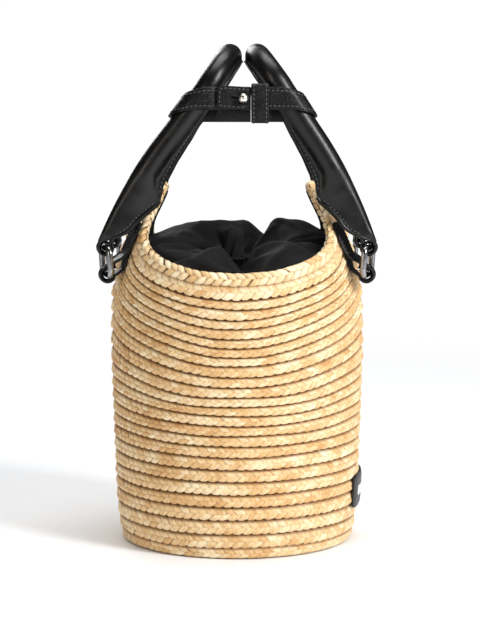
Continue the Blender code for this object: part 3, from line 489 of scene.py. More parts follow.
def tube(path, radius, sides, closed=False):
    """A round tube along a path of points."""
    path = np.asarray(path, float)
    count = len(path)
    if closed:
        tangent = unit(np.roll(path, -1, 0) - np.roll(path, 1, 0))
    else:
        tangent = unit(np.gradient(path, axis=0))
    ref = np.array([0.0, 1.0, 0.0]) if abs(tangent[0][1]) < 0.9 else np.array([1.0, 0, 0])
    us = [unit(np.cross(tangent[0], ref))]
    for k in range(1, count):
        u = us[-1] - tangent[k] * np.dot(us[-1], tangent[k])
        us.append(u / np.linalg.norm(u))
    us = np.array(us)
    if closed:
        # spread the leftover twist
        last = us[-1] - tangent[0] * np.dot(us[-1], tangent[0])
        last = last / np.linalg.norm(last)
        twist = math.atan2(np.dot(np.cross(last, us[0]), tangent[0]), np.dot(last, us[0]))
        for k in range(count):
            a = twist * k / count
            us[k] = us[k] * math.cos(a) + np.cross(tangent[k], us[k]) * math.sin(a)
    vs = np.cross(tangent, us)
    a = circle(sides)[None, :, None]
    r = np.broadcast_to(np.asarray(radius, float), (count,))[:, None, None]
    rings = path[:, None] + r * (np.cos(a) * us[:, None] + np.sin(a) * vs[:, None])
    return loft(rings, closed)


class Shells:
    """Collects several closed shells into one mesh."""

    def __init__(self):
        self.verts, self.faces, self.count = [], [], 0

    def add(self, mesh):
        verts, faces = mesh
        self.verts.append(np.asarray(verts, float))
        self.faces += [[k + self.count for k in face] for face in faces]
        self.count += len(verts)

    def mesh(self):
        return np.concatenate(self.verts), self.faces


def turned(profile, steps, at, axis="Y"):
    """A (radius, height) profile turned about Z, or about Y with height running towards -Y."""
    verts, rows = [], []
    for r, height in profile:
        if r < 1e-6:
            rows.append([len(verts)])
            verts.append((0.0, 0.0, height))
        else:
            rows.append(list(range(len(verts), len(verts) + steps)))
            verts += [(r * math.cos(a), r * math.sin(a), height) for a in circle(steps)]
    pairs = list(zip(rows, rows[1:]))
    if all(r > 1e-6 for r, _ in profile):
        pairs.append((rows[-1], rows[0]))
    faces = []
    for low, high in pairs:
        for k in range(steps):
            k2 = (k + 1) % steps
            if len(low) == 1:
                faces.append([low[0], high[k2], high[k]])
            elif len(high) == 1:
                faces.append([low[k], low[k2], high[0]])
            else:
                faces.append([low[k], low[k2], high[k2], high[k]])
    verts = np.array(verts)
    if axis == "Y":
        verts = np.stack([verts[:, 0], -verts[:, 2], verts[:, 1]], -1)
    return verts + np.asarray(at, float), faces


def corner_arcs(corners, steps):
    """Quarter arcs from (centre u, centre w, start angle, radius) corners, as points (u, w)."""
    points = []
    for u, w, start, r in corners:
        for k in range(steps + 1):
            a = math.radians(start + 90 * k / steps)
            points.append((u + r * math.cos(a), w + r * math.sin(a)))
    return np.array(points)


def rounded_box(u0, u1, w0, w1, high_radius, low_radius):
    """Box outline with one corner radius on the u1 side and another on the u0 side."""
    a, b = high_radius, low_radius
    corners = [(u1 - a, w1 - a, 0, a), (u0 + b, w1 - b, 90, b),
               (u0 + b, w0 + b, 180, b), (u1 - a, w0 + a, 270, a)]
    return corner_arcs(corners, 8)


# a stitch: (place along the half length, share of the radius), six sides, pointed ends
STITCH_STATIONS = [(-1, 0.0), (-0.86, 0.6), (-0.3, 1.0), (0.3, 1.0), (0.86, 0.6), (1, 0.0)]
HEXAGON = [(a, (a + 1) % 6) for a in range(6)]
STITCH_FACES = (
    [[0, 1 + a, 1 + b] for a, b in HEXAGON]
    + [[row + b, row + a, row + 6 + a, row + 6 + b] for row in (1, 7, 13) for a, b in HEXAGON]
    + [[19 + b, 19 + a, 25] for a, b in HEXAGON]
)
STITCH_LIFT = 0.10


def stitch_row(shells, path, normals, spacing, length, radius, start=0.0):
    """Small, slightly slanted stitches lying along a path."""
    path, normals = np.asarray(path, float), np.asarray(normals, float)
    run = run_lengths(path)

    def along(table, at):
        return np.stack([np.interp(at, run, table[:, d]) for d in range(3)], -1)

    for k in range(int((run[-1] - start) / spacing)):
        centre = start + (k + 0.5) * spacing
        first, last = along(path, centre - length / 2), along(path, centre + length / 2)
        up = unit(along(normals, centre))
        tangent = unit(last - first)
        side = np.cross(up, tangent)
        slanted = unit(tangent + side * 0.10)
        half = np.linalg.norm(last - first) / 2
        verts = []
        for w, girth in STITCH_STATIONS:
            lift = up * (STITCH_LIFT - 0.25 * radius * w * w)
            middle = (first + last) / 2 + slanted * w * half + lift
            if girth == 0:
                verts.append(middle)
                continue
            for a in range(6):
                turn = 2 * math.pi * a / 6
                ray = math.cos(turn) * side + math.sin(turn) * up
                verts.append(middle + radius * girth * ray)
        shells.add((verts, STITCH_FACES))


# ---------------------------------------------------------------- straw plait: row lines
ROUND = 1440  # samples round the bag
TH = circle(ROUND)
PHI = fold_phi(TH)
BACKING_STEP = 6  # the dark backings use every sixth sample
# heights of the lines between the rows at +-y; the first two lines are made from the rim instead
DIP = [191.8, 183.0, 173.3, 167.0, 160.4, 154.2, 147.8, 141.9, 135.6,
       129.5, 122.3, 115.9, 109.2, 103.1, 97.1, 90.4, 83.7, 76.7,
       69.4, 61.0, 52.6, 43.8, 35.7, 26.6, 16.8, 7.2, 0.2]
# extra height at the tongues against line number
tongue_rise = pchip([12, 13.5, 16, 18.9, 23, 27], [15.5, 11.0, 6.0, 2.5, 0.6, 0.0])


def rippled(base, amount, waves):
    """Adds random waves round the bag."""
    for wave in waves:
        base = base + amount * rng.normal() * np.sin(wave * TH + rng.uniform(0, 6.28))
    return base


def offset_curve(distance, top):
    """The rim moved down the wall by a distance, as heights against the folded angle.

    The top is the height at the middle of a tongue.
    """
    angles = [24, 26.5, 29, 32, 35, 38, 41, 45, 50, 56, 63, 71, 80, 90.0]
    if distance < 12:
        angles = [10.0, 14.0, 17.0, 20.0, 22.0] + angles
    points = [(0.0, top)]
    for angle in angles:
        t = math.radians(angle)
        before = wall_xyz(t - 0.012, rim_height(t - 0.012))
        after = wall_xyz(t + 0.012, rim_height(min(t + 0.012, math.pi / 2)))
        down = np.cross(unit(after - before), wall_normal(t, rim_height(t)))
        down = down if down[2] < 0 else -down
        x, y, z = wall_xyz(t, rim_height(t)) + down * distance
        points.append((math.degrees(math.atan2(y, x)), float(z)))
    points = sorted(points)
    kept = [points[0]]
    for point in points[1:]:
        if point[0] > kept[-1][0] + 1.0 and point[1] < kept[-1][1] - 0.05:
            kept.append(point)
    if kept[-1][0] < 89.5:
        kept.append((90.0, kept[-1][1] - 0.05))
    else:
        kept[-1] = (90.0, kept[-1][1])
    return pchip(*zip(*kept))


def low_line(k):
    return DIP[k] + tongue_rise(k) * np.cos(np.radians(PHI)) ** 2.6


def build_lines():
    """Heights of the 27 lines between the rows, from the rim (0) to the floor (26)."""
    second = offset_curve(18.4, 231.0)(PHI)
    lines = [rim_height(TH), offset_curve(8.9, 241.0)(PHI), second]
    middle = low_line(12)
    bulge = np.sin(np.pi * np.clip(PHI / 80.0, 0, 1))
    for k in range(3, 12):
        share = (DIP[2] - DIP[k]) / (DIP[2] - DIP[12])
        f = share - 0.25 * share * (1 - share) * bulge
        lines.append(second * (1 - f) + middle * f)
    lines += [low_line(k) for k in range(12, 27)]
    for k in range(2, 26):
        lines[k] = lines[k] + rippled(0.0, 0.16, (2, 3, 5, 7))
    return np.array(lines)


LINES = build_lines()

# ---------------------------------------------------------------- straw plait: leaves
LEAF_PITCH = 6.3
LEAF_WIDTH = 1.12  # leaf width over pitch
LEAF_ROWS, LEAF_COLS = 5, 4
LEAF_ALONG = np.linspace(0, 1, LEAF_ROWS)[None, :, None]
LEAF_ACROSS = np.array([-1.0, -0.45, 0.45, 1.0])[None, None, :]
# height of a row's surface against the place across it (-1 lower line, 1 upper line)
ROW_PLACE = [-1.15, -0.96, -0.84, -0.6, -0.2, 0.2, 0.55, 0.85, 1.02, 1.25]
ROW_HEIGHT = [-2.4, -1.35, -0.35, 0.10, 0.20, -0.10, -0.65, -1.45, -2.05, -2.6]


def leaf_faces(count):
    """Closed shells: a curved top grid, a strip of quads underneath, and two ends."""
    quads = grid_faces(LEAF_ROWS, LEAF_COLS, wrap_cols=False)
    quads = [[a, b, c, d] for a, b, c, d in quads]
    right = LEAF_COLS - 1
    for i in range(LEAF_ROWS - 1):
        low, high = i * LEAF_COLS, (i + 1) * LEAF_COLS
        quads.append([high, high + right, low + right, low])
    last = (LEAF_ROWS - 1) * LEAF_COLS
    quads += [[0, 3, 2, 1], [last, last + 1, last + 2, last + 3]]
    starts = np.arange(count) * LEAF_ROWS * LEAF_COLS
    return (np.array(quads)[None] + starts[:, None, None]).reshape(-1, 4).tolist()


def add_leaves(name, courses, material, replaces=None):
    """One object from courses of (points, leaf coordinates, tones[, painted gap shades])."""
    points, *values = (np.concatenate(part) for part in zip(*courses))
    points[:, 2] = np.maximum(points[:, 2], 0.15)
    count = len(points) // (LEAF_ROWS * LEAF_COLS)
    add_mesh(name, (points, leaf_faces(count)), material, "basket", replaces, angle=62.0,
             attributes=dict(zip(("leaf", "tone", "painted_gap_shade"), values)))


def jitter(amount, count):
    return rng.normal(0, amount, count)[:, None, None]


def closed_lengths(path):
    """Distance along a closed path at each point, and its full length."""
    seg = np.linalg.norm(np.roll(path, -1, 0) - path, axis=1)
    return np.concatenate([[0], np.cumsum(seg)[:-1]]), float(seg.sum())


def sample_closed(at, starts, total, table):
    """Interpolates the columns of a table given round a closed path."""
    at = np.mod(at, total)
    starts = np.concatenate([starts, [total]])
    columns = [np.interp(at, starts, np.append(c, c[0])) for c in table.T]
    return np.stack(columns, -1)


def leaf_coordinates(count):
    identity = rng.uniform(0, 1, count)[:, None, None]
    return np.stack(np.broadcast_arrays(LEAF_ALONG, LEAF_ACROSS, identity), -1).reshape(-1, 3)


def leaf_course(path, normal, across, half_height, tone, edge, tip, phase, slant, lean, dome, dip):
    """Leaves along a closed row, each from the row's edge to its tip near the middle."""
    starts, total = closed_lengths(path)
    count = max(6, int(round(total / LEAF_PITCH)))
    pitch = total / count
    centres = (np.arange(count) + phase) * pitch + rng.normal(0, 0.035 * pitch, count)
    a, b = LEAF_ALONG, LEAF_ACROSS
    width = 1 + jitter(0.06, count)
    taper = 0.86 + 0.14 * np.sin(np.pi * (a * 0.9 + 0.1))
    s = centres[:, None, None] - slant * (1 - a) + b * (pitch / 2) * LEAF_WIDTH * width * taper
    w = edge * (1 - a) + tip * a + b * 0.07 * np.sign(edge - tip) + jitter(0.022, count)
    w = w - 0.30 * b**2 * (1 - a) ** 3 * np.sign(edge)
    table = np.concatenate([path, normal, across, half_height[:, None], tone[:, None]], 1)
    q = sample_closed(s, starts, total, table)
    h = np.interp(w, ROW_PLACE, ROW_HEIGHT)
    h = (h + dome * (1 - b**2) * np.sin(np.pi * (a * 0.8 + 0.14)) + lean * b
         - dip * np.clip((a - 0.7) / 0.3, 0, 1) ** 2)
    h = h + jitter(0.09, count)
    points = (q[..., 0:3] + unit(q[..., 6:9]) * (w * q[..., 9])[..., None]
              + unit(q[..., 3:6]) * h[..., None])
    coordinates = leaf_coordinates(count)
    tones = np.clip(q[..., 10] + jitter(0.085, count), 0.0, 1.0)
    # painted shade on each leaf's upper part, where the row above overhangs it
    gap_shade = np.clip((w - 0.62) / 0.24, 0, 1) * 0.92
    return points.reshape(-1, 3), coordinates, tones.reshape(-1), gap_shade.reshape(-1)


def row_frame(k):
    """Middle path of a row with its normals, upward directions and half heights."""
    middle = 0.5 * (LINES[k] + LINES[k + 1])
    path = wall_xyz(TH, middle)
    tangent = unit(np.roll(path, -1, 0) - np.roll(path, 1, 0))
    normal = wall_normal(TH, middle)
    rise = unit(np.cross(normal, tangent))
    rise = np.where(rise[:, 2:3] < 0, -rise, rise)
    span = wall_xyz(TH, LINES[k]) - wall_xyz(TH, LINES[k + 1])
    half = 0.5 * np.einsum("ij,ij->i", span, rise)
    return path, normal, rise, np.maximum(half, 1.6)


def wall_rows(name, rows, replaces=None):
    courses = []
    for k in rows:
        row = row_frame(k)
        tone = rippled(0.50 + 0.05 * rng.normal(), 0.035, (3, 5, 8, 13, 21))
        phase = rng.uniform(0, 1)
        top = 1.16 if k > 1 else 1.5
        for edge, tip, shift, dip in ((top, -0.10, 0.0, 0.45), (-0.97, 0.14, 0.5, 0.25)):
            *course, gap_shade = leaf_course(*row, tone, edge, tip, phase + shift, slant=4.1,
                                        lean=0.13, dome=0.72, dip=dip)
            courses.append((*course, gap_shade if k > 1 else gap_shade * 0.8))
    add_leaves(name, courses, STRAW, replaces)


def straw_backing():
    """Dark closed shell behind the wall's leaves."""
    around = TH[::BACKING_STEP]
    outer, inner = [], []
    for k in range(26, 0, -1):
        z = np.maximum(LINES[k][::BACKING_STEP], 0.3)
        outer.append(wall_at(around, z, -2.1 if k < 26 else -1.4))
        inner.append(wall_at(around, np.maximum(z, 5.0), -3.9))
    shell = loft(outer + inner[::-1], closed=True)
    add_mesh("straw_backing", shell, SHADOW, "basket")


wall_rows("straw_rows_upper", range(1, 9), "straw_wall")
wall_rows("straw_rows_middle", range(9, 18))
wall_rows("straw_rows_lower", range(18, 26))
straw_backing()

# ---------------------------------------------------------------- rim row
# section wrapped by the rim leaves: (out from the wall, down from the rim line)
RIM_SECTION = np.array([
    (-1.4, 9.3), (0.0, 8.7), (0.65, 6.6), (0.8, 4.0), (0.3, 1.9), (-0.9, 0.75),
    (-2.3, 0.5), (-3.6, 0.95), (-4.5, 2.1), (-4.8, 3.6), (-4.5, 5.0), (-3.6, 5.6),
])
RIM_PITCH, RIM_LEAF_WIDTH, RIM_LEAN = 5.7, 1.04, 0.20
# start and end round the section (0..1), phase, slant, dome, dip at the tip
RIM_COURSES = [
    (0.02, 0.345, 0.5, 4.0, 1.15, 0.35),
    (0.58, 0.285, 0.0, 4.0, 1.35, 0.45),
    (0.60, 0.985, 0.5, 3.6, 0.9, 0.2),
]


def rim_frame():
    """Rim path with its normals and downward directions."""
    z = rim_height(TH)
    path, normal = wall_xyz(TH, z), wall_normal(TH, z)
    # a wide difference smooths the tangent over the corners of the tongues
    tangent = unit(np.roll(path, -5, 0) - np.roll(path, 5, 0))
    down = unit(np.cross(tangent, normal))
    return path, normal, np.where(down[:, 2:3] > 0, -down, down)


def rim_course(rim, tone, first, last, phase, slant, dome, dip):
    """Leaves round the rim, laid over the section."""
    run = run_lengths(RIM_SECTION)
    tangent = unit(np.gradient(RIM_SECTION, run, axis=0))
    outward = np.stack([tangent[:, 1], -tangent[:, 0]], -1)
    outward = -outward if outward[3, 0] < 0 else outward
    starts, total = closed_lengths(rim[0])
    count = int(round(total / RIM_PITCH))
    pitch = total / count
    centres = (np.arange(count) + phase) * pitch + rng.normal(0, 0.2, count)
    a, b = LEAF_ALONG, LEAF_ACROSS
    taper = 0.84 + 0.16 * np.sin(np.pi * (a * 0.9 + 0.1))
    s = centres[:, None, None] - slant * (1 - a) + b * (pitch / 2) * RIM_LEAF_WIDTH * taper
    place = first * (1 - a) + last * a + jitter(0.012, count)
    s, place = np.broadcast_arrays(s, place)
    f = sample_closed(s, starts, total, np.concatenate([*rim, tone[:, None]], 1))
    place = place * float(run[-1])
    out, down = (np.interp(place, run, RIM_SECTION[:, d]) for d in (0, 1))
    out_normal, down_normal = (np.interp(place, run, outward[:, d]) for d in (0, 1))
    h = (dome * (1 - b**2) * np.sin(np.pi * (a * 0.75 + 0.15)) + RIM_LEAN * b
         - dip * np.clip((a - 0.7) / 0.3, 0, 1) ** 2 + jitter(0.1, count) - 0.35)
    points = (f[..., 0:3] + unit(f[..., 3:6]) * (out + out_normal * h)[..., None]
              + unit(f[..., 6:9]) * (down + down_normal * h)[..., None])
    coordinates = leaf_coordinates(count)
    tones = np.clip(f[..., 9] + jitter(0.13, count), 0, 1)
    return points.reshape(-1, 3), coordinates, tones.reshape(-1)


def rim_row():
    rim = rim_frame()
    tone = 0.58 + 0.03 * np.sin(5 * TH) + 0.03 * np.sin(11 * TH + 1)
    courses = [rim_course(rim, tone, *course) for course in RIM_COURSES]
    add_leaves("rim_plait", courses, RIM_STRAW, "rim_braid")
    # dark core: the section shrunk about its mean point
    centre = RIM_SECTION.mean(0)
    core = centre + (RIM_SECTION - centre) * np.array([0.72, 0.86])
    path, normal, down = (part[::BACKING_STEP, None] for part in rim)
    shell = loft(path + normal * core[:, :1] + down * core[:, 1:], closed=True)
    add_mesh("rim_backing", shell, SHADOW, "basket")


rim_row()

# ---------------------------------------------------------------- base
BASE_ROW_PITCH = 7.4
BASE_ROWS = np.arange(71.5, 4.0, -BASE_ROW_PITCH)  # radii of the rows' middles


def straw_base():
    courses = []
    radial = np.stack([np.cos(TH), np.sin(TH), 0 * TH], -1)
    down = np.tile([0.0, 0.0, -1.0], (ROUND, 1))
    for r in BASE_ROWS:
        path = np.stack([r * np.cos(TH), r * np.sin(TH), np.full(ROUND, 1.6)], -1)
        tone = np.full(ROUND, 0.48 + 0.05 * rng.normal())
        half = np.full(ROUND, BASE_ROW_PITCH / 2)
        for edge, tip, phase in ((1.06, -0.10, 0.0), (-1.0, 0.14, 0.5)):
            course = leaf_course(path, down, -radial, half, tone, edge, tip, phase, slant=3.6,
                                 lean=0.1, dome=0.55, dip=0.3)
            courses.append(course[:3])
    add_leaves("base_rows", courses, BASE_STRAW, "straw_base")
    disc = [(0, 4.1), (74.5, 4.1), (75.6, 3.4), (75.0, 2.4), (0, 2.4)]
    add_mesh("base_backing", turned(disc, 120, (0, 0, 0), axis="Z"), SHADOW, "basket",
             angle=40.0)


straw_base()

# ---------------------------------------------------------------- lining
LINING_OFFSET, LINING_THICKNESS = -4.75, 0.85


def lining():
    """Double-skinned fabric pouch inside the wall, with soft ripples that fade near its top."""
    around = circle(160)
    fold = np.linspace(0, 90, 181)
    top = np.interp(fold_phi(around), fold, offset_curve(4.4, 245.6)(fold))

    def wall_rings(low, sink):
        rings = []
        for v in np.concatenate([[0.0, 0.02, 0.05], np.linspace(0.1, 1.0, 34)]):
            z = low + (top - low) * v
            size = 0.75 * math.sin(math.pi * min(1.0, v * 1.02)) ** 0.5 if 0 < v < 1 else 0.0
            ripple = size * (0.5 * np.sin(9 * around + 7 * v)
                             + 0.35 * np.sin(17 * around - 11 * v + 1.3)
                             + 0.3 * np.sin(31 * around + 5 * v))
            flat = smoothstep((v - 0.80) / 0.14)
            inward = (np.minimum(ripple, 0.35) - 0.35) * (1 - 0.7 * flat) - 0.35 * flat
            rings.append(wall_at(around, z, LINING_OFFSET - sink + inward))
        return rings

    def floor_ring(r, z):
        return np.stack([r * np.cos(around), r * np.sin(around), np.full(len(around), z)], -1)

    sections = [floor_ring(2.0, 6.4), floor_ring(60.0, 6.4), floor_ring(72.5, 6.9)]
    sections += wall_rings(9.0, 0.0) + wall_rings(9.6, LINING_THICKNESS)[::-1]
    sections += [floor_ring(71.8, 7.9), floor_ring(60.0, 7.4), floor_ring(2.0, 7.4)]
    add_mesh("lining", loft(sections), LINING, "basket", "lining_pouch")


lining()

# ---------------------------------------------------------------- gathered closure
CLOSURE_RINGS, CLOSURE_ROUND = 34, 150
CLOSURE_THICKNESS = 0.9
# from the lining (0) to the gathers (1): rise above the edge, share of the edge radius
CLOSURE_U = [0, 0.08, 0.18, 0.32, 0.46, 0.60, 0.74, 0.86, 0.94, 1.0]
CLOSURE_RISE = [0, 8.5, 16.0, 22.5, 25.5, 25.0, 21.5, 16.5, 12.0, 8.0]
CLOSURE_SHARE = [1.0, 0.985, 0.93, 0.80, 0.645, 0.49, 0.34, 0.215, 0.135, 0.085]
# direction and width in degrees, depth, reach outwards from the gathers (0..1)
CREASES = [
    (-82, 17, 15.0, 0.97), (-60, 7, 6.0, 0.6), (-118, 9, 6.5, 0.75), (-142, 6, 4.5, 0.55),
    (-165, 8, 6.0, 0.8), (165, 8, 4.5, 0.7), (140, 7, 2.6, 0.7), (118, 7, 1.6, 0.6),
    (96, 6, 1.2, 0.6), (70, 8, 10.0, 0.9), (48, 7, 1.8, 0.6), (24, 8, 3.4, 0.7),
    (2, 6, 5.0, 0.65), (-18, 8, 8.0, 0.9), (-38, 7, 6.5, 0.8),
]
NECK_X, NECK_Y = -3.0, -13.0  # axis of the ruffle and its cord
# radius and height up the ruffle
RUFFLE_PROFILE = [
    (4.0, 187.0), (6.2, 188.5), (6.7, 193.0), (6.8, 199.0), (7.4, 204.5), (8.4, 208.6),
    (9.2, 211.6), (9.4, 214.0), (8.7, 216.2), (7.0, 217.7), (4.8, 218.3), (2.6, 218.1),
    (0.9, 217.7),
]


def closure_surface():
    """Fabric from the lining up over a puffed shoulder and down into the gathers."""
    t = circle(CLOSURE_ROUND)
    u = np.linspace(0, 1, CLOSURE_RINGS)[:, None]
    share = pchip(CLOSURE_U, CLOSURE_SHARE)(u)
    r = share * (wall_radius(t, 184.0) - 6.6)[None, :]
    k = 1 - share
    z = 182.0 + pchip(CLOSURE_U, CLOSURE_RISE)(u) + 0 * t[None, :]
    degrees = np.degrees(t)[None, :] + 26.0 * (u - 0.35) ** 2 * np.sign(u - 0.35)
    for direction, width, depth, reach in CREASES:
        d = (degrees - direction + 180) % 360 - 180
        spread = width * (0.55 + 0.75 * u)
        along = smoothstep((u - (1 - reach)) / 0.35) * np.clip((1.02 - u) / 0.25, 0, 1) ** 0.5
        z = z - depth * along * np.exp(-np.abs(d / spread) ** 1.7) * 0.92
        shoulder = np.exp(-(((np.abs(d) - 1.7 * spread) / spread) ** 2))
        z = z + 0.22 * depth * along * shoulder
    y = r * np.sin(t)[None, :] - 6.0 * k
    x = r * np.cos(t)[None, :] + 0.5 * k
    lift = np.clip(u / 0.3, 0, 1)
    z = z + lift * (0.085 * y + 1.2) - lift * 2.2 * np.exp(-(((y + 62) / 22) ** 2))
    z = z + lift * 1.1 * np.sin(x * 0.11 + 0.6) * np.cos(y * 0.09 + 1.0)
    # two mounds on the far half
    mounds = 13.5 * np.exp(-(((x + 17) / 36) ** 2) - ((y - 34) / 26) ** 2)
    mounds = mounds + 8.0 * np.exp(-(((x - 38) / 24) ** 2) - ((y - 26) / 26) ** 2)
    z = z + mounds * np.clip((1 - u) / 0.45, 0, 1)
    return np.stack([x, y, z], -1)


def settle(sim, start):
    """Points after a short cloth run with both edges pinned, moved 6 mm at most."""
    pin = sim.vertex_groups.new(name="pin")
    first_inner = (CLOSURE_RINGS - 2) * CLOSURE_ROUND
    pinned = [*range(CLOSURE_ROUND * 2), *range(first_inner, CLOSURE_RINGS * CLOSURE_ROUND)]
    pin.add(pinned, 1.0, "REPLACE")
    cloth = sim.modifiers.new("fabric", "CLOTH")
    settings = cloth.settings
    settings.quality = 6
    settings.mass = 0.12
    settings.tension_stiffness = settings.compression_stiffness = 12
    settings.shear_stiffness = 6
    settings.bending_stiffness = 0.35
    settings.tension_damping = settings.compression_damping = 6
    settings.air_damping = 3
    settings.vertex_group_mass = "pin"
    settings.shrink_min = -0.11
    settings.use_pressure = True
    settings.uniform_pressure_force = 0.35
    cloth.collision_settings.use_collision = False
    cloth.collision_settings.use_self_collision = False
    settings.effector_weights.gravity = 0.0
    scene = bpy.context.scene
    cloth.point_cache.frame_start, cloth.point_cache.frame_end = 1, 24
    for number in range(1, 23):
        scene.frame_set(number)
    settled = sim.evaluated_get(bpy.context.evaluated_depsgraph_get())
    points = np.array([v.co for v in settled.to_mesh().vertices]) / MM
    settled.to_mesh_clear()
    sim.modifiers.clear()
    scene.frame_set(1)
    move = points - start
    distance = np.linalg.norm(move, axis=1, keepdims=True)
    return start + move * np.minimum(1.0, 6.0 / np.maximum(distance, 1e-9))


def smooth_once(ob):
    smooth = ob.modifiers.new("smooth", "SUBSURF")
    smooth.levels = smooth.render_levels = 1


def closure_fabric():
    points = closure_surface().reshape(-1, 3)
    data = bpy.data.meshes.new("closure_sim")
    faces = grid_faces(CLOSURE_RINGS, CLOSURE_ROUND, flip=True)
    data.from_pydata((points * MM).tolist(), [], faces)
    sim = bpy.data.objects.new("closure_sim", data)
    bpy.context.scene.collection.objects.link(sim)
    points = settle(sim, points)
    bpy.data.objects.remove(sim, do_unlink=True)
    outer = points.reshape(CLOSURE_RINGS, CLOSURE_ROUND, 3)
    around = (np.roll(outer, -1, 1) - np.roll(outer, 1, 1)) / 2
    normal = unit(np.cross(around, np.gradient(outer, axis=0)))
    lower = outer - normal * CLOSURE_THICKNESS
    shell = loft(np.concatenate([outer, lower[::-1]], 0), closed=True)
    smooth_once(add_mesh("closure_fabric", shell, CLOSURE, "basket",
                         "gathered_collar", angle=80.0))


def closure_ruffle():
    """Ruffled bunch standing up from the gathers."""
    t = circle(168)
    fold = 0.55 * np.cos(5 * t + 0.7) + 0.34 * np.cos(8 * t + 2.1) + 0.12 * np.cos(17 * t)
    rings = []
    for k, (radius, z) in enumerate(RUFFLE_PROFILE):
        size = np.interp(z, [190, 200, 208, 216], [1.2, 1.7, 1.5, 1.1]) * (1.0 if k < 9 else 0.5)
        r = np.maximum(radius + size * fold * min(1.0, radius / 8.0), 0.7)
        twist = 0.05 * (z - 195)
        x = NECK_X + r * np.cos(t + twist) * 0.95 - 0.10 * (z - 200)
        y = NECK_Y + r * np.sin(t + twist) + 0.06 * (z - 200)
        wave = 0.9 * np.cos(3 * t + 1.2) * max(0.0, (z - 203) / 14.0)
        rings.append(np.stack([x, y, z + wave + 0.5 * fold * max(0.0, (z - 206) / 10.0)], -1))
    smooth_once(add_mesh("closure_ruffle", loft(rings), CLOSURE, "basket", angle=80.0))


def drawing_cord():
    """Three twisted strands round the neck of the gathers."""
    cord = Shells()
    t = circle(220)
    for strand in range(3):
        turn = 28 * t + 2 * math.pi * strand / 3
        r = 10.2 + 0.55 * np.cos(turn)
        z = 196.5 + 0.55 * np.sin(turn)
        path = np.stack([NECK_X + r * np.cos(t), NECK_Y + r * np.sin(t), z], -1)
        cord.add(tube(path, 0.62, 6, closed=True))
    add_mesh("drawing_cord", cord.mesh(), CORD, "basket", "drawstring_cord")


closure_fabric()
closure_ruffle()
drawing_cord()

# ---------------------------------------------------------------- rings
RING_WIRE, RING_WIDTH, RING_CORNER = 2.1, 20.0, 4.4
RING_TURN = math.radians(20.0)


def metal_ring(side, sx, end, sy):
    """Rounded rectangle of wire whose bars pass through the lower and upper eyes."""
    low = np.array([sx * LOW_EYE[0], sy * LEG_Y, LOW_EYE[1]])
    across = np.array([-sx * math.sin(RING_TURN), sy * math.cos(RING_TURN), 0.0])
    up = np.array([sx * TOP_EYE[0] - low[0], 0, TOP_EYE[1] - LOW_EYE[1]])
    up = up / np.linalg.norm(up)
    height = TOP_EYE[1] - LOW_EYE[1]
    a, c = RING_WIDTH / 2, RING_CORNER
    corners = [(a - c, c, -90, c), (a - c, height - c, 0, c),
               (-a + c, height - c, 90, c), (-a + c, c, 180, c)]
    path = [low + across * u + up * w for u, w in corner_arcs(corners, 12)]
    body = f"ring_{side}_{end}"
    add_mesh(f"metal_{body}", tube(path, RING_WIRE, 20, closed=True), GUNMETAL, body,
             body)


for side, sx in SIDES.items():
    for end, sy in ENDS.items():
        metal_ring(side, sx, end, sy)

# ---------------------------------------------------------------- leather loops on the rings
LOOP_TURN = math.radians(10.0)
# band section: shares of the half width and half thickness
BAND_SECTION = [
    (-1.0, -0.2), (-0.97, -0.75), (-0.9, -1.0), (-0.45, -1.06), (0.0, -1.08), (0.45, -1.06),
    (0.9, -1.0), (0.97, -0.75), (1.0, -0.2), (1.0, 0.2), (0.97, 0.75), (0.9, 1.0),
    (0.45, 1.0), (0.0, 1.0), (-0.45, 1.0), (-0.9, 1.0), (-0.97, 0.75), (-1.0, 0.2),
]
# radius and height of the padding
PADDING_PROFILE = [
    (4.25, 3.5), (4.25, -3.5), (4.15, -3.8), (3.9, -3.8), (EYE_WAIST + 0.55, -1.6),
    (EYE_WAIST + 0.05, 0.0), (EYE_WAIST + 0.55, 1.6), (3.9, 3.8), (4.15, 3.8),
]


def band(stations, thick):
    """Soft leather strip through (point, crosswise direction, half width) stations.

    Returns its mesh, and the dense points, crosswise directions, half widths and normals.
    """
    points, across, widths = (np.array(part, float) for part in zip(*stations))
    points = catmull(points, 4)
    across = unit(catmull(across, 4))
    widths = catmull(widths[:, None], 4)[:, 0]
    tangent = unit(np.gradient(points, axis=0))
    across = unit(across - tangent * np.einsum("ij,ij->i", across, tangent)[:, None])
    normals = unit(np.cross(across, tangent))
    rows = [[p + a * (u * w) + n * (v * thick / 2) for u, v in BAND_SECTION]
            for p, a, w, n in zip(points, across, widths, normals)]
    return loft(rows), points, across, widths, normals


def loop_frame(eye, sx, sy):
    """Centre, axis and horizontal outward direction of a loop."""
    cos, sin = math.cos(LOOP_TURN), math.sin(LOOP_TURN)
    centre = np.array([sx * eye[0], sy * LEG_Y, eye[1]])
    return centre, np.array([-sx * sin, sy * cos, 0.0]), np.array([sx * cos, sy * sin, 0.0])


def round_eye(loop, radius, degrees):
    centre, _, out = loop
    a = math.radians(degrees)
    return centre + out * (radius * math.cos(a)) + UP * (radius * math.sin(a))


def loop_padding(shells, eye, sx, sy):
    """Fills a loop round the ring's bar, waisted so that the bar can tilt in it."""
    shells.add(turned(PADDING_PROFILE, 40, (sx * eye[0], sy * LEG_Y, eye[1])))


# ---------------------------------------------------------------- tabs
TAB_THICKNESS, TAB_LOOP_R = 1.85, 4.9
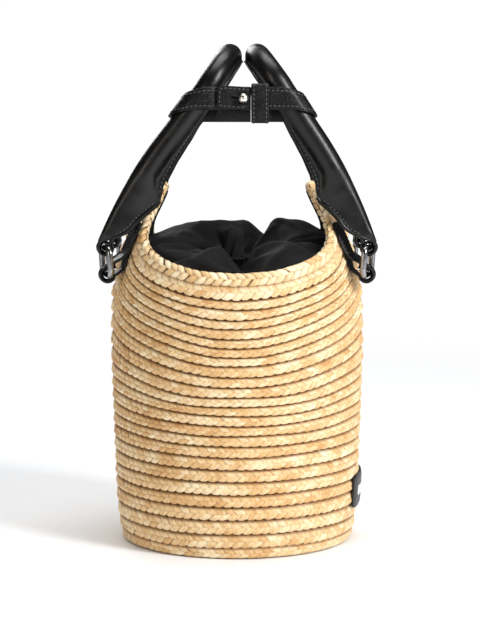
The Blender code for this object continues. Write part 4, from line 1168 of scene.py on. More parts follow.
# height, offset from the wall, half width: down the outside, then up again behind
TAB_FRONT = [
    (221.0, 1.6, 3.2), (220.4, 1.65, 5.4), (218.6, 1.7, 6.9), (213.0, 1.7, 7.4),
    (207.5, 1.75, 7.4), (202.5, 2.2, 7.1), (198.2, 3.8, 6.4),
]
TAB_BEHIND = [(190.5, 1.5, 4.0), (194.5, 1.1, 4.6), (198.5, 0.75, 5.2)]
TAB_LOOP_DEGREES = (52, 20, -12, -45, -78, -111, -144, -172)
# filling between the tab and the wall: dense band point, height on the wall, half width
TAB_WEDGE = [(14, 210.0, 5.6), (19, 205.0, 5.4), (24, 201.5, 5.0), (28, 198.5, 4.3)]


def leather_tab(node, sx, sy, thread):
    loop = loop_frame(LOW_EYE, sx, sy)
    centre, axis, out = loop
    theta = math.atan2(centre[1], centre[0]) + sx * sy * 0.022
    level = np.array([-math.sin(theta), math.cos(theta), 0.0])
    level = level if np.dot(level, axis) > 0 else -level
    stations = [(wall_at(theta, z, offset), level, w) for z, offset, w in TAB_FRONT]
    bridge = stations[-1][0] * 0.45 + round_eye(loop, TAB_LOOP_R, 62) * 0.55 + out * 0.2
    stations.append((bridge, unit(level + axis), 5.0))
    stations += [(round_eye(loop, TAB_LOOP_R, d), axis, 3.8) for d in TAB_LOOP_DEGREES]
    turning = unit(level * 0.6 + axis * 0.4)
    stations += [(wall_at(theta, z, offset), turning, w) for z, offset, w in TAB_BEHIND]
    mesh, points, across, widths, normals = band(stations, TAB_THICKNESS)
    tab = Shells()
    tab.add(mesh)
    loop_padding(tab, LOW_EYE, sx, sy)
    wedge = []
    for k, z, w in TAB_WEDGE:
        outer, inner = points[k], wall_at(theta, z, 0.5)
        wedge.append([outer + across[k] * u for u in (w, w * 0.3, -w * 0.3, -w)]
                     + [inner + level * u for u in (-w, -w * 0.3, w * 0.3, w)])
    tab.add(loft(wedge))
    add_mesh(f"leather_{node}", tab.mesh(), TAB_LEATHER, "basket", node,
             angle=50.0)
    # a stitch row down each edge and one across the top
    ids = [k for k in range(4, 26) if points[k, 2] > 199.0]
    signs = [1.0 if np.dot(normals[k], wall_normal(theta, points[k, 2])) > 0 else -1.0
             for k in ids]
    face = normals[ids] * np.array(signs)[:, None]
    for edge in (-1, 1):
        path = points[ids] + across[ids] * (edge * (widths[ids][:, None] - 1.5)) + face * 0.98
        stitch_row(thread, path, face, spacing=2.7, length=1.9, radius=0.3)
    path = [points[7] + across[7] * u + face[0] * 0.98 for u in np.linspace(-4.6, 4.6, 8)]
    stitch_row(thread, path, np.repeat(face[:1], 8, 0), spacing=2.6, length=1.9, radius=0.3)


tab_thread = Shells()
for side, sx in SIDES.items():
    for end, sy in ENDS.items():
        leather_tab(f"tab_{side}_{end}", sx, sy, tab_thread)
add_stitches("tab_stitches", tab_thread, "basket")

# ---------------------------------------------------------------- handles
TUBE_R = 8.2
TUBE_WALL = 1.75
FLANGE = 9.7  # flange tip's distance from the tube axis over the arc
HOOD_FLANGE = 14.2  # the same where the tube opens into the hood
ARC_FOOT = (24.44, 313.0)  # x, z
ARC_STEPS = 48
ARC_STATION = 400.0  # station number of every section on the arc
APEX = {-1: (9.4, 338.0), 1: (9.4, 332.7)}  # x, z by side
# both handles tilt towards +x about their top eyes, by 4.4 mm at the mean apex height
LEAN_ANGLE = 4.4 / (335.3 - TOP_EYE[1])
# leg before the tilt: x, z from the top down
LEG = [(24.36, 313.0), (34.3, 298.8), (44.3, 284.5), (54.0, 271.0), (62.6, 257.5),
       (69.9, 244.0), (76.6, 230.5), (82.4, 217.5), (86.6, 207.0)]
LEG_STEP = 1.6

# Half sections of the cover: 8 outer points then 8 inner ones, as
# (towards the bag's middle, sideways along y).
HOOD = np.array([
    (-8.2, 0), (-7.0, 4.3), (-3.5, 6.6), (1.3, 6.9), (6.2, 6.2), (10.6, 4.6), (14.3, 2.8),
    (17.7, 2.1),
    (17.7, 0.2), (14.0, 0.8), (10.2, 2.9), (5.9, 4.5), (1.5, 5.15), (-3.0, 4.95), (-5.6, 3.2),
    (-6.45, 0),
])
OPEN_HOOD = np.array([
    (-8.2, 0), (-7.4, 3.8), (-5.2, 5.7), (-2.0, 6.1), (1.6, 6.1), (4.8, 6.0), (7.8, 5.8),
    (10.4, 5.6),
    (10.4, 3.9), (7.8, 4.05), (4.8, 4.25), (1.6, 4.4), (-2.0, 4.4), (-4.6, 4.0), (-5.9, 2.7),
    (-6.45, 0),
])
CHANNEL = np.array([
    (-8.2, 0), (-8.05, 2.6), (-7.5, 4.6), (-6.5, 5.7), (-5.2, 6.0), (-3.2, 6.1), (-1.0, 6.1),
    (1.2, 6.0),
    (1.2, 4.4), (-1.0, 4.4), (-3.4, 4.3), (-5.0, 4.1), (-5.6, 3.5), (-6.1, 2.4), (-6.35, 1.2),
    (-6.45, 0),
])
FLAT_END = np.array([
    (-8.2, 0), (-8.2, 1.5), (-8.15, 3.0), (-8.05, 4.0), (-7.8, 4.5), (-7.4, 4.7),
    (-6.8, 4.75), (-6.2, 4.7),
    (-5.5, 4.5), (-5.0, 4.1), (-4.8, 3.5), (-4.75, 2.9), (-4.7, 2.2), (-4.7, 1.5), (-4.7, 0.8),
    (-4.7, 0),
])


def tube_half(tip):
    """Half section of the rolled tube with its flange."""
    def arc(r, degrees):
        return [(-r * math.cos(math.radians(a)), r * math.sin(math.radians(a))) for a in degrees]

    root = min(9.0, tip - 1.2)
    outer = arc(TUBE_R, (0, 30, 60, 90, 116, 140)) + [(root, 2.2), (tip, 2.0)]
    inner = [(tip, 0.2), (root, 0.2)] + arc(TUBE_R - TUBE_WALL, (148, 122, 94, 64, 32, 0))
    return np.array(outer + inner)


def blend(a, b, t):
    return a * (1 - t) + b * t


def cover_half(z):
    """Half section of the cover at a station height."""
    if z >= 259:
        return tube_half(blend(HOOD_FLANGE, FLANGE, min(1.0, (z - 259.0) / 36.0)))
    if z >= 243:
        return blend(HOOD, tube_half(HOOD_FLANGE), smoothstep((z - 246.0) / 13.0))
    if z >= 227:
        return blend(HOOD, OPEN_HOOD, ((243.0 - z) / 16.0) ** 0.8)
    if z >= 213:
        return blend(OPEN_HOOD, CHANNEL, ((227.0 - z) / 14.0) ** 1.9)
    return blend(CHANNEL, FLAT_END, min(1.0, (213.0 - z) / 6.0))


def dense_half(half):
    """Splined outer and inner halves; a mirrored neighbour keeps them smooth at the spine."""
    outer, inner = half[:8], half[8:]
    before = [[outer[1][0], -outer[1][1]]]
    after = [[inner[-2][0], -inner[-2][1]]]
    return (catmull(np.concatenate([before, outer]), 3)[3:],
            catmull(np.concatenate([inner, after]), 3)[:-3])


def lean(sx, x, y, z):
    """A point of the upright handle, given with x positive, put in its tilted place."""
    eye_x, eye_z = sx * TOP_EYE[0], TOP_EYE[1]
    dx, dz = sx * x - eye_x, z - eye_z
    cos, sin = math.cos(LEAN_ANGLE), math.sin(LEAN_ANGLE)
    return np.array([eye_x + dx * cos + dz * sin, y, eye_z - dx * sin + dz * cos])


class HandleFrame:
    """A handle's axis, from the near leg's foot to the far leg's, with its directions."""

    def __init__(self, sx):
        leg_table = np.array(LEG)[::-1]
        leg_x = pchip(leg_table[:, 1], leg_table[:, 0])
        heights = np.concatenate([
            np.arange(207.0, 250.0, LEG_STEP * 0.7), np.arange(250.0, 300.0, LEG_STEP),
            [303.0, 306.5, 310.0],
        ])
        leg = [(float(leg_x(z)), -LEG_Y, float(z)) for z in heights]
        arc = []
        for k in range(ARC_STEPS + 1):
            a = math.radians(180.0 * k / ARC_STEPS)
            x, z = (foot + (top - foot) * math.sin(a) for foot, top in zip(ARC_FOOT, APEX[sx]))
            arc.append((x, -LEG_Y * math.cos(a), z))
        upright = leg + arc + [(x, LEG_Y, z) for x, _, z in leg[::-1]]
        self.points = np.array([lean(sx, *p) for p in upright])
        self.stations = np.concatenate([heights, [ARC_STATION] * len(arc), heights[::-1]])
        half = len(upright) // 2
        self.legs = (range(half), range(half, len(upright)))

        tangent = unit(np.gradient(self.points, axis=0))
        start = len(leg)
        drop = self.points[start] - self.points[start + ARC_STEPS // 2]
        in_plane = tangent * np.array([1.0, 0.0, 1.0])
        in_plane[start:start + len(arc)] = np.array([drop[0], 0.0, drop[2]])
        in_plane = unit(in_plane)
        inward = np.stack([-in_plane[:, 2], 0 * in_plane[:, 0], in_plane[:, 0]], -1)
        outwards = inward[:, 0] * sx > 0
        inward[outwards] = -inward[outwards]
        # ease the frame over the joins between the legs and the arc
        for _ in range(3):
            inward[1:-1] = unit(inward[:-2] + 2 * inward[1:-1] + inward[2:])
        along = np.einsum("ij,ij->i", inward, tangent)[:, None]
        self.inward = unit(inward - tangent * along)
        self.side = unit(np.cross(tangent, self.inward))

    def at(self, k, inward, side=0.0):
        return self.points[k] + self.inward[k] * inward + self.side[k] * side

    def between(self, leg, low, high):
        return [k for k in leg if low <= self.stations[k] <= high]


def cover_shell(handle, sx):
    sections = []
    for k, z in enumerate(handle.stations):
        outer, inner = dense_half(cover_half(z))
        if z > 250:  # gentle unevenness of the rolled leather and the flange edge
            wiggle = 0.12 * math.sin(k * 0.9) + 0.1 * math.sin(k * 0.37 + 1)
            outer = outer * (1 + 0.004 * math.sin(k * 0.21 + sx))
            edge = outer[:, 0] > 8.8
            outer[edge, 1] += 0.10 * math.sin(k * 1.9)
            outer[edge, 0] += wiggle * 0.6
            inner[inner[:, 0] > 8.8, 0] += wiggle * 0.6
        mirror = [1, -1]
        section = np.concatenate([outer, inner, (inner * mirror)[:-1][::-1],
                                  (outer * mirror)[1:][::-1]])
        sections.append(handle.at(k, section[:, :1], section[:, 1:]))
    return loft(sections)


def hem_rolls(shells, handle):
    """Round roll along both edges of the hood on each leg."""
    for leg in handle.legs:
        ids = handle.between(leg, 209.0, 246.5)
        for sign in (-1, 1):
            path = []
            for k in ids:
                half = cover_half(handle.stations[k])
                tip = (half[7] + half[8]) / 2
                path.append(handle.at(k, tip[0] - 0.2, sign * (tip[1] + 0.15)))
            radius = np.interp(handle.stations[ids], [209, 214, 228, 240, 246.5],
                               [0.7, 1.2, 1.7, 1.7, 1.0])
            shells.add(tube(path, radius, 12))


# station height, distance inwards from the axis, half width: down to the ring, then up inside
LOOP_DOWN = [(228.0, -6.0, 3.6), (223.0, -6.1, 4.0), (217.5, -6.3, 4.3), (213.0, -6.5, 4.2)]
LOOP_UP = [(214.0, 0.6, 4.3), (219.0, 0.8, 4.4), (225.0, 1.2, 4.2)]
LOOP_DEGREES = (38, 8, -22, -52, -82, -112, -142, -172, -200)
LOOP_R, LOOP_THICKNESS = 4.95, 1.9


def handle_loops(shells, handle, sx):
    """Band at each leg's foot, round the ring's upper bar."""
    for sy, leg in zip((-1, 1), handle.legs):
        loop = loop_frame(TOP_EYE, sx, sy)
        axis = loop[1]
        level = np.array([0.0, sy, 0.0])

        def on_leg(table):
            rows = []
            for z, inward, width in table:
                k = min(leg, key=lambda i: abs(handle.stations[i] - z))
                rows.append((handle.at(k, inward), level, width))
            return rows

        down = on_leg(LOOP_DOWN)
        down[-1] = (down[-1][0], unit(level + axis), down[-1][2])
        turn = [(round_eye(loop, LOOP_R, d), axis, 3.9) for d in LOOP_DEGREES]
        shells.add(band(down + turn + on_leg(LOOP_UP), LOOP_THICKNESS)[0])
        loop_padding(shells, TOP_EYE, sx, sy)


def handle_stitches(handle):
    thread = Shells()
    for sign in (-1, 1):
        ids = [k for k, z in enumerate(handle.stations) if z >= 250]
        tips = [cover_half(handle.stations[k])[7][0] for k in ids]
        path = [handle.at(k, tip - 1.9, sign * 2.12) for k, tip in zip(ids, tips)]
        stitch_row(thread, path, handle.side[ids] * sign, spacing=3.0, length=2.0, radius=0.36)
        # hem stitches just above the roll
        for leg in handle.legs:
            ids = handle.between(leg, 214.0, 245.0)
            path = []
            for k in ids:
                before, tip = cover_half(handle.stations[k])[6:8]
                q = tip + (before - tip) / max(1e-6, np.linalg.norm(before - tip)) * 2.6
                path.append(handle.at(k, q[0], sign * (q[1] + 0.1)))
            stitch_row(thread, path, handle.side[ids] * sign, spacing=2.9, length=1.9,
                       radius=0.33)
    return thread


for side, sx in SIDES.items():
    handle = HandleFrame(sx)
    shells = Shells()
    shells.add(cover_shell(handle, sx))
    hem_rolls(shells, handle)
    handle_loops(shells, handle, sx)
    add_mesh(f"rolled_handle_{side}", shells.mesh(), HANDLE_LEATHER, f"{side}_handle",
             f"handle_cover_{side}", angle=48.0)
    add_stitches(f"handle_stitches_{side}", handle_stitches(handle), f"{side}_handle")

# ---------------------------------------------------------------- strap bands
STRAP_H, STRAP_T = 15.5, 1.9
STRAP_Z, STRAP_BACK_Z = 305.5, 297.5  # middle heights on the near and far faces of the legs
STUD_X, STUD_R = 4.3, 3.35
KEEPER_X, KEEPER_Z = (9.5, 21.3), (290.6, 313.7)
TIP_X, TIP_Y, TIP_T = (-13.3, 9.2), -48.6, 2.0
TAIL_Y, BACKBAND_Y = -45.35, -33.5
WRAP_IN = TUBE_R + GAP + 0.15  # radii of the band round a leg
WRAP_OUT = WRAP_IN + STRAP_T
NEAR_Y = -LEG_Y - (WRAP_IN + WRAP_OUT) / 2
REAR_Y = -LEG_Y + (WRAP_IN + WRAP_OUT) / 2
HALF_H = STRAP_H / 2
# strap section: height, depth from the inner face (0) to the outer (1)
STRIP = [
    (-HALF_H + 0.5, 0.0), (HALF_H - 0.5, 0.0), (HALF_H - 0.12, 0.14), (HALF_H, 0.42),
    (HALF_H - 0.05, 0.7), (HALF_H - 0.35, 0.93), (HALF_H - 0.9, 1.0),
    (HALF_H * 0.4, 1.03), (-HALF_H * 0.4, 1.03),
    (-HALF_H + 0.9, 1.0), (-HALF_H + 0.35, 0.93), (-HALF_H + 0.05, 0.7), (-HALF_H, 0.42),
    (-HALF_H + 0.12, 0.14),
]
STRIP_TOP, STRIP_BOTTOM = 6, 9  # its outer face's edge points


def leg_line(sx):
    """A point and direction of the near leg's straight upper part."""
    (low_x, low_z), (high_x, high_z) = LEG[2], ARC_FOOT
    low, high = lean(sx, low_x, -LEG_Y, low_z), lean(sx, high_x, -LEG_Y, high_z)
    return low, unit(high - low)


LEG_LINES = {sx: leg_line(sx) for sx in (-1, 1)}


def leg_x_at(sx, z):
    start, direction = LEG_LINES[sx]
    return float((start + direction * ((z - start[2]) / direction[2]))[0])


def round_leg(sx, z, radius, angle):
    """Point at height z round the near leg; angle 0 faces outwards and +90 degrees faces +y."""
    start, d = LEG_LINES[sx]
    inward = unit(np.array([-sx * abs(d[2]), 0.0, -abs(d[0])]))
    ray = radius * (-math.cos(angle) * inward + math.sin(angle) * np.array([0.0, 1.0, 0.0]))
    return start + d * ((z - start[2] - ray[2]) / d[2]) + ray


def tail_sections(points, z, facing, count):
    """Sections of a flat tail through (x, y) points; facing is the outer face's sign of y."""
    points = np.array(points)
    run = run_lengths(points)
    at = np.linspace(0, run[-1], count)
    xs, ys = pchip(run, points[:, 0])(at), pchip(run, points[:, 1])(at)
    return [[[x, y - facing * (0.5 - depth) * STRAP_T, z + h] for h, depth in STRIP]
            for x, y in zip(xs, ys)]


def strap_band(side, sx, near_points, rear_points):
    """Band from the rear tail round the outside of the leg to the near tail."""
    sections = tail_sections(rear_points, STRAP_BACK_Z, 1, 18)
    normals = [np.array([0, 1.0, 0])] * len(sections)
    for degrees in np.linspace(88, -88, 30):
        f = (90 - degrees) / 180.0
        middle = STRAP_BACK_Z * (1 - f) + STRAP_Z * f
        angle = math.radians(degrees)
        sections.append([round_leg(sx, middle + h, WRAP_IN + (WRAP_OUT - WRAP_IN) * depth, angle)
                         for h, depth in STRIP])
        normals.append(unit(round_leg(sx, middle, WRAP_OUT, angle)
                            - round_leg(sx, middle, WRAP_IN, angle)))
    near = tail_sections(near_points, STRAP_Z, -1, 16)
    sections = np.array(sections + near)
    normals = np.array(normals + [np.array([0, -1.0, 0])] * len(near))
    name, body = f"strap_{side}_half", f"{side}_handle"
    add_mesh(name, loft(sections), STRAP_LEATHER, body, f"strap_band_{side}",
             angle=50.0)
    thread = Shells()
    top, bottom = sections[:, STRIP_TOP], sections[:, STRIP_BOTTOM]
    for share in (0.87, 0.13):
        line = top * share + bottom * (1 - share)
        stitch_row(thread, line + normals * 0.03, normals, spacing=3.0, length=2.05, radius=0.36,
                   start=1.5)
    add_stitches(f"{name}_stitches", thread, body)


near_x = {sx: leg_x_at(sx, STRAP_Z) for sx in (-1, 1)}
rear_x = {sx: leg_x_at(sx, STRAP_BACK_Z) for sx in (-1, 1)}
# y of the rear tails, from the join to the leg
REAR_YS = [BACKBAND_Y, BACKBAND_Y, REAR_Y - 4.3, REAR_Y - 1.5, REAR_Y]
strap_band(
    "back", -1,
    near_points=[(near_x[-1] + 2.0, NEAR_Y), (near_x[-1] + 8.6, NEAR_Y + 0.4),
                 (TIP_X[0] - 1.0, TAIL_Y - 0.15), (STUD_X - 8, TAIL_Y),
                 (KEEPER_X[0] - 0.6, TAIL_Y)],
    rear_points=list(zip([KEEPER_X[0] - 0.2, -8.0, rear_x[-1] + 19.5, rear_x[-1] + 12.5,
                          rear_x[-1] + 3.0], REAR_YS)),
)
strap_band(
    "front", 1,
    near_points=[(near_x[1] - 3.0, NEAR_Y), (near_x[1] - 9.0, NEAR_Y),
                 (KEEPER_X[1] + 1.0, TIP_Y + TIP_T / 2), (KEEPER_X[0] - 0.1, TIP_Y + TIP_T / 2)],
    rear_points=list(zip([KEEPER_X[0] + 0.2, rear_x[1] - 26.0, rear_x[1] - 19.5,
                          rear_x[1] - 12.5, rear_x[1] - 3.0], REAR_YS)),
)

# ---------------------------------------------------------------- keeper loop
KEEPER_T = 1.6
# round the keeper's wall: x, depth from the inner face (0) to the outer (1)
KEEPER_SECTION = [
    (KEEPER_X[0] + 0.35, 0.0), (KEEPER_X[1] - 0.35, 0.0), (KEEPER_X[1] - 0.05, 0.3),
    (KEEPER_X[1], 0.6), (KEEPER_X[1] - 0.25, 0.92), (KEEPER_X[1] - 0.9, 1.0),
    (KEEPER_X[0] + 0.9, 1.0), (KEEPER_X[0] + 0.25, 0.92), (KEEPER_X[0], 0.6),
    (KEEPER_X[0] + 0.05, 0.3),
]


def keeper():
    """Rectangular sleeve round the strap tip, with a stitch row near each end."""
    y0, y1 = TIP_Y - GAP, TIP_Y + TIP_T + GAP
    z0, z1 = KEEPER_Z
    inner = rounded_box(y0, y1, z0, z1, 0.7, 0.7)
    t = KEEPER_T
    outer = rounded_box(y0 - t, y1 + t, z0 - t, z1 + t, 2.2, 2.2)
    sections = [[[x, yi + (yo - yi) * m, zi + (zo - zi) * m] for x, m in KEEPER_SECTION]
                for (yi, zi), (yo, zo) in zip(inner, outer)]
    add_mesh("keeper_loop", loft(sections, closed=True), STRAP_LEATHER, "front_handle",
             "strap_keeper", angle=50.0)
    ring = np.concatenate([outer, outer[:1]])
    tangent = unit(np.gradient(ring, axis=0))
    normals = np.stack([tangent[:, 1], -tangent[:, 0]], -1)
    outward = ring - outer.mean(0)
    normals = np.where((normals * outward).sum(1, keepdims=True) < 0, -normals, normals)
    normals = np.column_stack([np.zeros(len(ring)), normals])
    thread = Shells()
    for x in (KEEPER_X[0] + 1.7, KEEPER_X[1] - 1.7):
        path = np.column_stack([np.full(len(ring), x), ring])
        stitch_row(thread, path, normals, spacing=3.0, length=2.05, radius=0.36)
    add_stitches("keeper_stitches", thread, "front_handle")


keeper()

# ---------------------------------------------------------------- strap tip
TIP_HALF_H = STRAP_H / 2 - 0.1
TIP_SLANT = math.radians(-3.6)
HOLE_X, HOLE_R, SLIT_HALF = STUD_X - 0.3, 3.75, 0.55
# the plate's edge: scale of the outline, y
TIP_EDGE = [(0.985, TIP_Y + TIP_T), (1.0, TIP_Y + TIP_T * 0.65), (1.0, TIP_Y + TIP_T * 0.35),
            (0.992, TIP_Y + 0.18), (0.972, TIP_Y + 0.02), (0.93, TIP_Y - 0.04)]
# the hole's edge: scale of its outline, y
HOLE_EDGE = [(1.12, TIP_Y - 0.02), (1.03, TIP_Y + 0.12), (1.0, TIP_Y + 0.4),
             (1.0, TIP_Y + TIP_T - 0.2), (1.03, TIP_Y + TIP_T)]


def hole_outline():
    """Button hole with its slit towards -x, as 36 points."""
    mouth = math.asin(SLIT_HALF / HOLE_R)
    points = [(HOLE_X + HOLE_R * math.cos(a), STRAP_Z + HOLE_R * math.sin(a))
              for a in np.linspace(math.pi + mouth, 3 * math.pi - mouth, 30)]
    for x, dz in ((6.0, SLIT_HALF), (8.0, SLIT_HALF), (8.35, 0.25),
                  (8.35, -0.25), (8.0, -SLIT_HALF), (6.0, -SLIT_HALF)):
        points.append((STUD_X - x, STRAP_Z + dz))
    return np.array(points)


def by_angle(points):
    """Orders both outlines the same way round, from the same direction."""
    angle = np.arctan2(points[:, 1] - STRAP_Z, points[:, 0] - (STUD_X - 3.5))
    return points[np.argsort(angle)]


def slant(points):
    """Turns points in the XZ plane about the stud."""
    points = np.array(points, float)
    dx, dz = points[:, 0] - STUD_X, points[:, 2] - STRAP_Z
    cos, sin = math.cos(TIP_SLANT), math.sin(TIP_SLANT)
    points[:, 0] = STUD_X + dx * cos - dz * sin
    points[:, 2] = STRAP_Z + dx * sin + dz * cos
    return points


def strap_tip():
    """Plate with the button hole cut through it, and stitches round three sides."""
    x0, x1 = TIP_X
    z0, z1 = STRAP_Z - TIP_HALF_H, STRAP_Z + TIP_HALF_H
    outline = by_angle(rounded_box(x0, x1, z0, z1, 0.4, 2.2))
    hole = by_angle(hole_outline())
    centre, hole_centre = np.array([(x0 + x1) / 2, STRAP_Z]), np.array([HOLE_X, STRAP_Z])
    rings = []
    for scale, y in TIP_EDGE:
        q = centre + (outline - centre) * np.array([1 - (1 - scale) * 0.7, scale])
        rings.append(np.stack([q[:, 0], np.full(len(q), y), q[:, 1]], -1))
    for scale, y in HOLE_EDGE:
        q = hole_centre + (hole - hole_centre) * scale
        rings.append(np.stack([q[:, 0], np.full(len(q), y), q[:, 1]], -1))
    verts, faces = loft(rings, closed=True)
    add_mesh("strap_tip_leather", (slant(verts), faces), STRAP_LEATHER, "strap_tip",
             "strap_tip", angle=40.0)
    inset = 1.7
    top = [(x1 - 0.8, inset), (x0 + 3.2, inset), (x0 + 1.9, 2.2), (x0 + inset, 3.4)]
    path = [(x, TIP_Y - 0.05, z1 - down) for x, down in top]
    path += [(x, TIP_Y - 0.05, z0 + up) for x, up in top[::-1]]
    thread = Shells()
    stitch_row(thread, slant(path), np.tile([0.0, -1.0, 0.0], (len(path), 1)), spacing=3.0,
               length=2.1, radius=0.38)
    add_stitches("strap_tip_stitches", thread, "strap_tip")


strap_tip()


# ---------------------------------------------------------------- stud
def stud():
    """Ball on a post with a collar on each face of the tail; heights run towards -Y."""
    ball = -(TIP_Y - 2.2)
    seat = -(TAIL_Y - STRAP_T / 2) + 0.1
    rear = -(TAIL_Y + STRAP_T / 2) - 0.1
    profile = [(0, ball + STUD_R)]
    for degrees in range(80, -46, -8):
        a = math.radians(degrees)
        profile.append((STUD_R * math.cos(a), ball + STUD_R * math.sin(a)))
    profile += [
        (1.35, ball - 3.2), (1.35, seat + 0.75), (2.8, seat + 0.65), (2.95, seat + 0.35),
        (2.9, seat), (1.4, seat), (1.4, rear), (2.8, rear), (2.9, rear - 0.4),
        (2.4, rear - 0.9), (0, rear - 0.95),
    ]
    add_mesh("stud_ball", turned(profile, 48, (STUD_X, 0, STRAP_Z)), STUD_METAL, "back_handle",
             "stud", angle=40.0)


stud()

# ---------------------------------------------------------------- label with raised bars
LABEL_Z, LABEL_HALF_H, LABEL_HALF_DEGREES = 36.0, 11.75, 21.7
BAR_HALF_H = 3.4
# bar middle and half width, in degrees round the bag
LABEL_BARS = [(-14.6, 2.1), (-9.6, 2.1), (-3.4, 2.9), (3.4, 2.9), (9.6, 2.1), (14.6, 2.1)]


def round_corners(a, b, power):
    """Pulls the corners of a -1..1 square in to a superellipse."""
    m = np.maximum((np.abs(a) ** power + np.abs(b) ** power) ** (1 / power), 1.0)
    return a / m, b / m


def plate(top, bottom):
    """Closed slab between two grids of points."""
    nx, ny = top.shape[:2]
    size = nx * ny
    faces = grid_faces(nx, ny, wrap_cols=False)
    faces += grid_faces(nx, ny, wrap_cols=False, start=size, flip=True)
    border = [i * ny for i in range(nx)] + [(nx - 1) * ny + j for j in range(1, ny)]
    border += [i * ny + ny - 1 for i in range(nx - 2, -1, -1)] + list(range(ny - 2, 0, -1))
    faces += [[a, b, b + size, a + size] for a, b in zip(border, border[1:] + border[:1])]
    return np.concatenate([top.reshape(-1, 3), bottom.reshape(-1, 3)]), faces


def label():
    a, b = np.meshgrid(np.linspace(-1, 1, 44), np.linspace(-1, 1, 20), indexing="ij")
    u, w = round_corners(a, b, 10)
    theta, z = np.radians(u * LABEL_HALF_DEGREES), LABEL_Z + w * LABEL_HALF_H
    edge = np.maximum(np.abs(a) ** 14, np.abs(b) ** 10)
    inset = np.maximum(np.abs(u) * 2.76 - 1.76, np.abs(w)) - 0.86
    groove = np.exp(-((inset / 0.05) ** 2)) * 0.22
    slab = plate(wall_at(theta, z, 2.9 - 0.75 * edge - groove), wall_at(theta, z, 0.85))
    add_mesh("label_plate", slab, LABEL_RUBBER, "basket", "label_patch", angle=50.0)
    q = np.linspace(-1, 1, 7)
    u, w = round_corners(*np.meshgrid(q, q, indexing="ij"), 5)
    edge = np.maximum(np.abs(u), np.abs(w)) ** 8
    bars = Shells()
    for middle, half in LABEL_BARS:
        theta, z = np.radians(middle + u * half), LABEL_Z + w * BAR_HALF_H
        bars.add(plate(wall_at(theta, z, 3.25 - 0.3 * edge), wall_at(theta, z, 2.6)))
    add_mesh("label_bars", bars.mesh(), LABEL_MARKS, "basket", angle=50.0)


label()

# ---------------------------------------------------------------- CAD nodes that stay
for node, material in (("base_board", BOARD), ("handle_core_back", CORE),
                       ("handle_core_front", CORE)):
    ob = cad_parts[node]
    for slot in ob.material_slots:
        slot.material = material
    if not ob.material_slots:
        ob.data.materials.append(material)


# ---------------------------------------------------------------- floor, world, lights, camera
WHITE_GLOW = 1.03  # strength of the white seen by the camera beyond the floor
SKY_DIFFUSE, SKY_GLOSSY = 0.30, 0.05  # sky strength for ordinary and for glossy rays


def floor_material():
    """Matt paper that fades into white away from the bag, for camera rays only."""
    material, g, shader = new_material("floor_paper")
    fine = g.noise(g.node("TexCoord").outputs["Object"], scale=40.0)
    g.feed(shader, {
        "Base Color": g.mix(fine, (0.91, 0.925, 0.945), (0.93, 0.945, 0.965)),
        "Roughness": 0.85,
        "Specular IOR Level": 0.1,
    })
    position = g.node("NewGeometry").outputs["Position"]
    distance = g.node("VectorMath", {0: position}, operation="LENGTH").outputs["Value"]
    seen = g.node("LightPath").outputs["Is Camera Ray"]
    fade = g.multiply(g.remap(distance, (0.42, 1.3)), seen)
    glow = g.node("Emission", {0: (1, 1, 1, 1), 1: WHITE_GLOW})
    mixed = g.node("MixShader", {0: fade, 1: shader.outputs[0], 2: glow.outputs[0]})
    g.feed(material.node_tree.nodes["Material Output"], {0: mixed.outputs[0]})
    return material


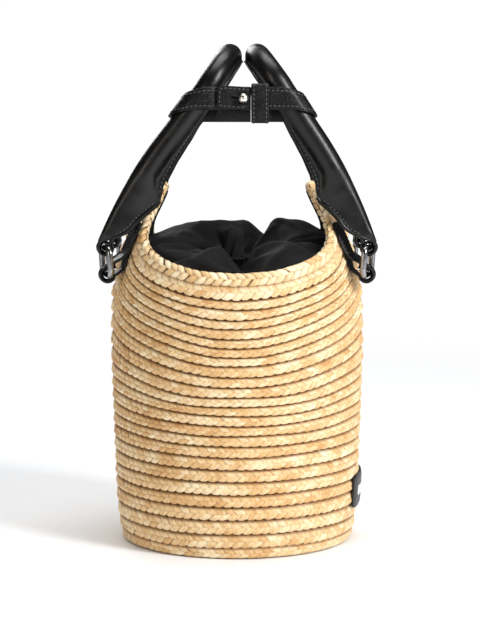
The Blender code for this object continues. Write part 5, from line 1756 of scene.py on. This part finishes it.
def studio_floor():
    data = bpy.data.meshes.new("floor")
    data.from_pydata([(-6, -6, 0), (6, -6, 0), (6, 6, 0), (-6, 6, 0)], [], [(0, 1, 2, 3)])
    floor = bpy.data.objects.new("floor", data)
    bpy.context.scene.collection.objects.link(floor)
    data.materials.append(floor_material())
    floor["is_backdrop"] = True


def studio_world():
    world = bpy.context.scene.world or bpy.data.worlds.new("studio")
    bpy.context.scene.world = world
    world.use_nodes = True
    world.node_tree.nodes.clear()
    g = Graph(world.node_tree)
    output = g.node("OutputWorld")
    sky = g.node("Background", {0: (0.985, 0.99, 1.0, 1), 1: SKY_DIFFUSE})
    backdrop = g.node("Background", {0: (1, 1, 1, 1), 1: WHITE_GLOW})
    rays = g.node("LightPath").outputs
    strength = g.remap(rays["Is Glossy Ray"], (0.0, 1.0), to=(SKY_DIFFUSE, SKY_GLOSSY))
    g.feed(sky, {1: strength})
    mixed = g.node("MixShader", {
        0: rays["Is Camera Ray"], 1: sky.outputs[0], 2: backdrop.outputs[0],
    })
    g.feed(output, {0: mixed.outputs[0]})


def place(name, data, at, aim):
    """Adds a light or camera looking from one point at another, in metres."""
    ob = bpy.data.objects.new(name, data)
    ob.location = at
    ob.rotation_euler = (Vector(aim) - Vector(at)).to_track_quat("-Z", "Y").to_euler()
    bpy.context.scene.collection.objects.link(ob)
    return ob


def area_light(name, at, aim, size, power, colour=(1, 1, 1)):
    light = bpy.data.lights.new(name, "AREA")
    light.shape = "RECTANGLE"
    light.size, light.size_y = size
    light.energy = power
    light.color = colour
    place(name, light, at, aim)


def studio_camera():
    camera = bpy.data.cameras.new("camera")
    camera.sensor_fit = "AUTO"
    camera.sensor_width = 36.0
    camera.clip_start = 0.05
    camera.lens = 105.0525
    scene = bpy.context.scene
    scene.camera = place("camera", camera, at=(0.002, -1.3, 0.29), aim=(0.002, 0.0, 0.152))
    scene.view_settings.view_transform = "Standard"
    scene.view_settings.look = "None"


studio_floor()
studio_world()
area_light("key", at=(1.15, -0.95, 1.0), aim=(0.0, 0.0, 0.16), size=(0.42, 0.75), power=27.0)
area_light("fill", at=(-1.1, -1.3, 0.55), aim=(0.0, 0.0, 0.18), size=(0.35, 0.9), power=5.0,
           colour=(1.0, 0.89, 0.76))
area_light("top", at=(0.05, 0.1, 1.5), aim=(0.0, 0.0, 0.2), size=(0.9, 0.9), power=12.0)
area_light("back", at=(-0.5, 1.3, 0.9), aim=(0.0, 0.0, 0.25), size=(0.6, 0.6), power=5.0)
studio_camera()

bpy.context.view_layer.update()


def plain(bounds):
    """Nested vectors as nested lists of floats."""
    if isinstance(bounds, (int, float)):
        return float(bounds)
    return [plain(part) for part in bounds]


{"cad_box": plain(CAD_BOX), "visual_box": plain(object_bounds())}
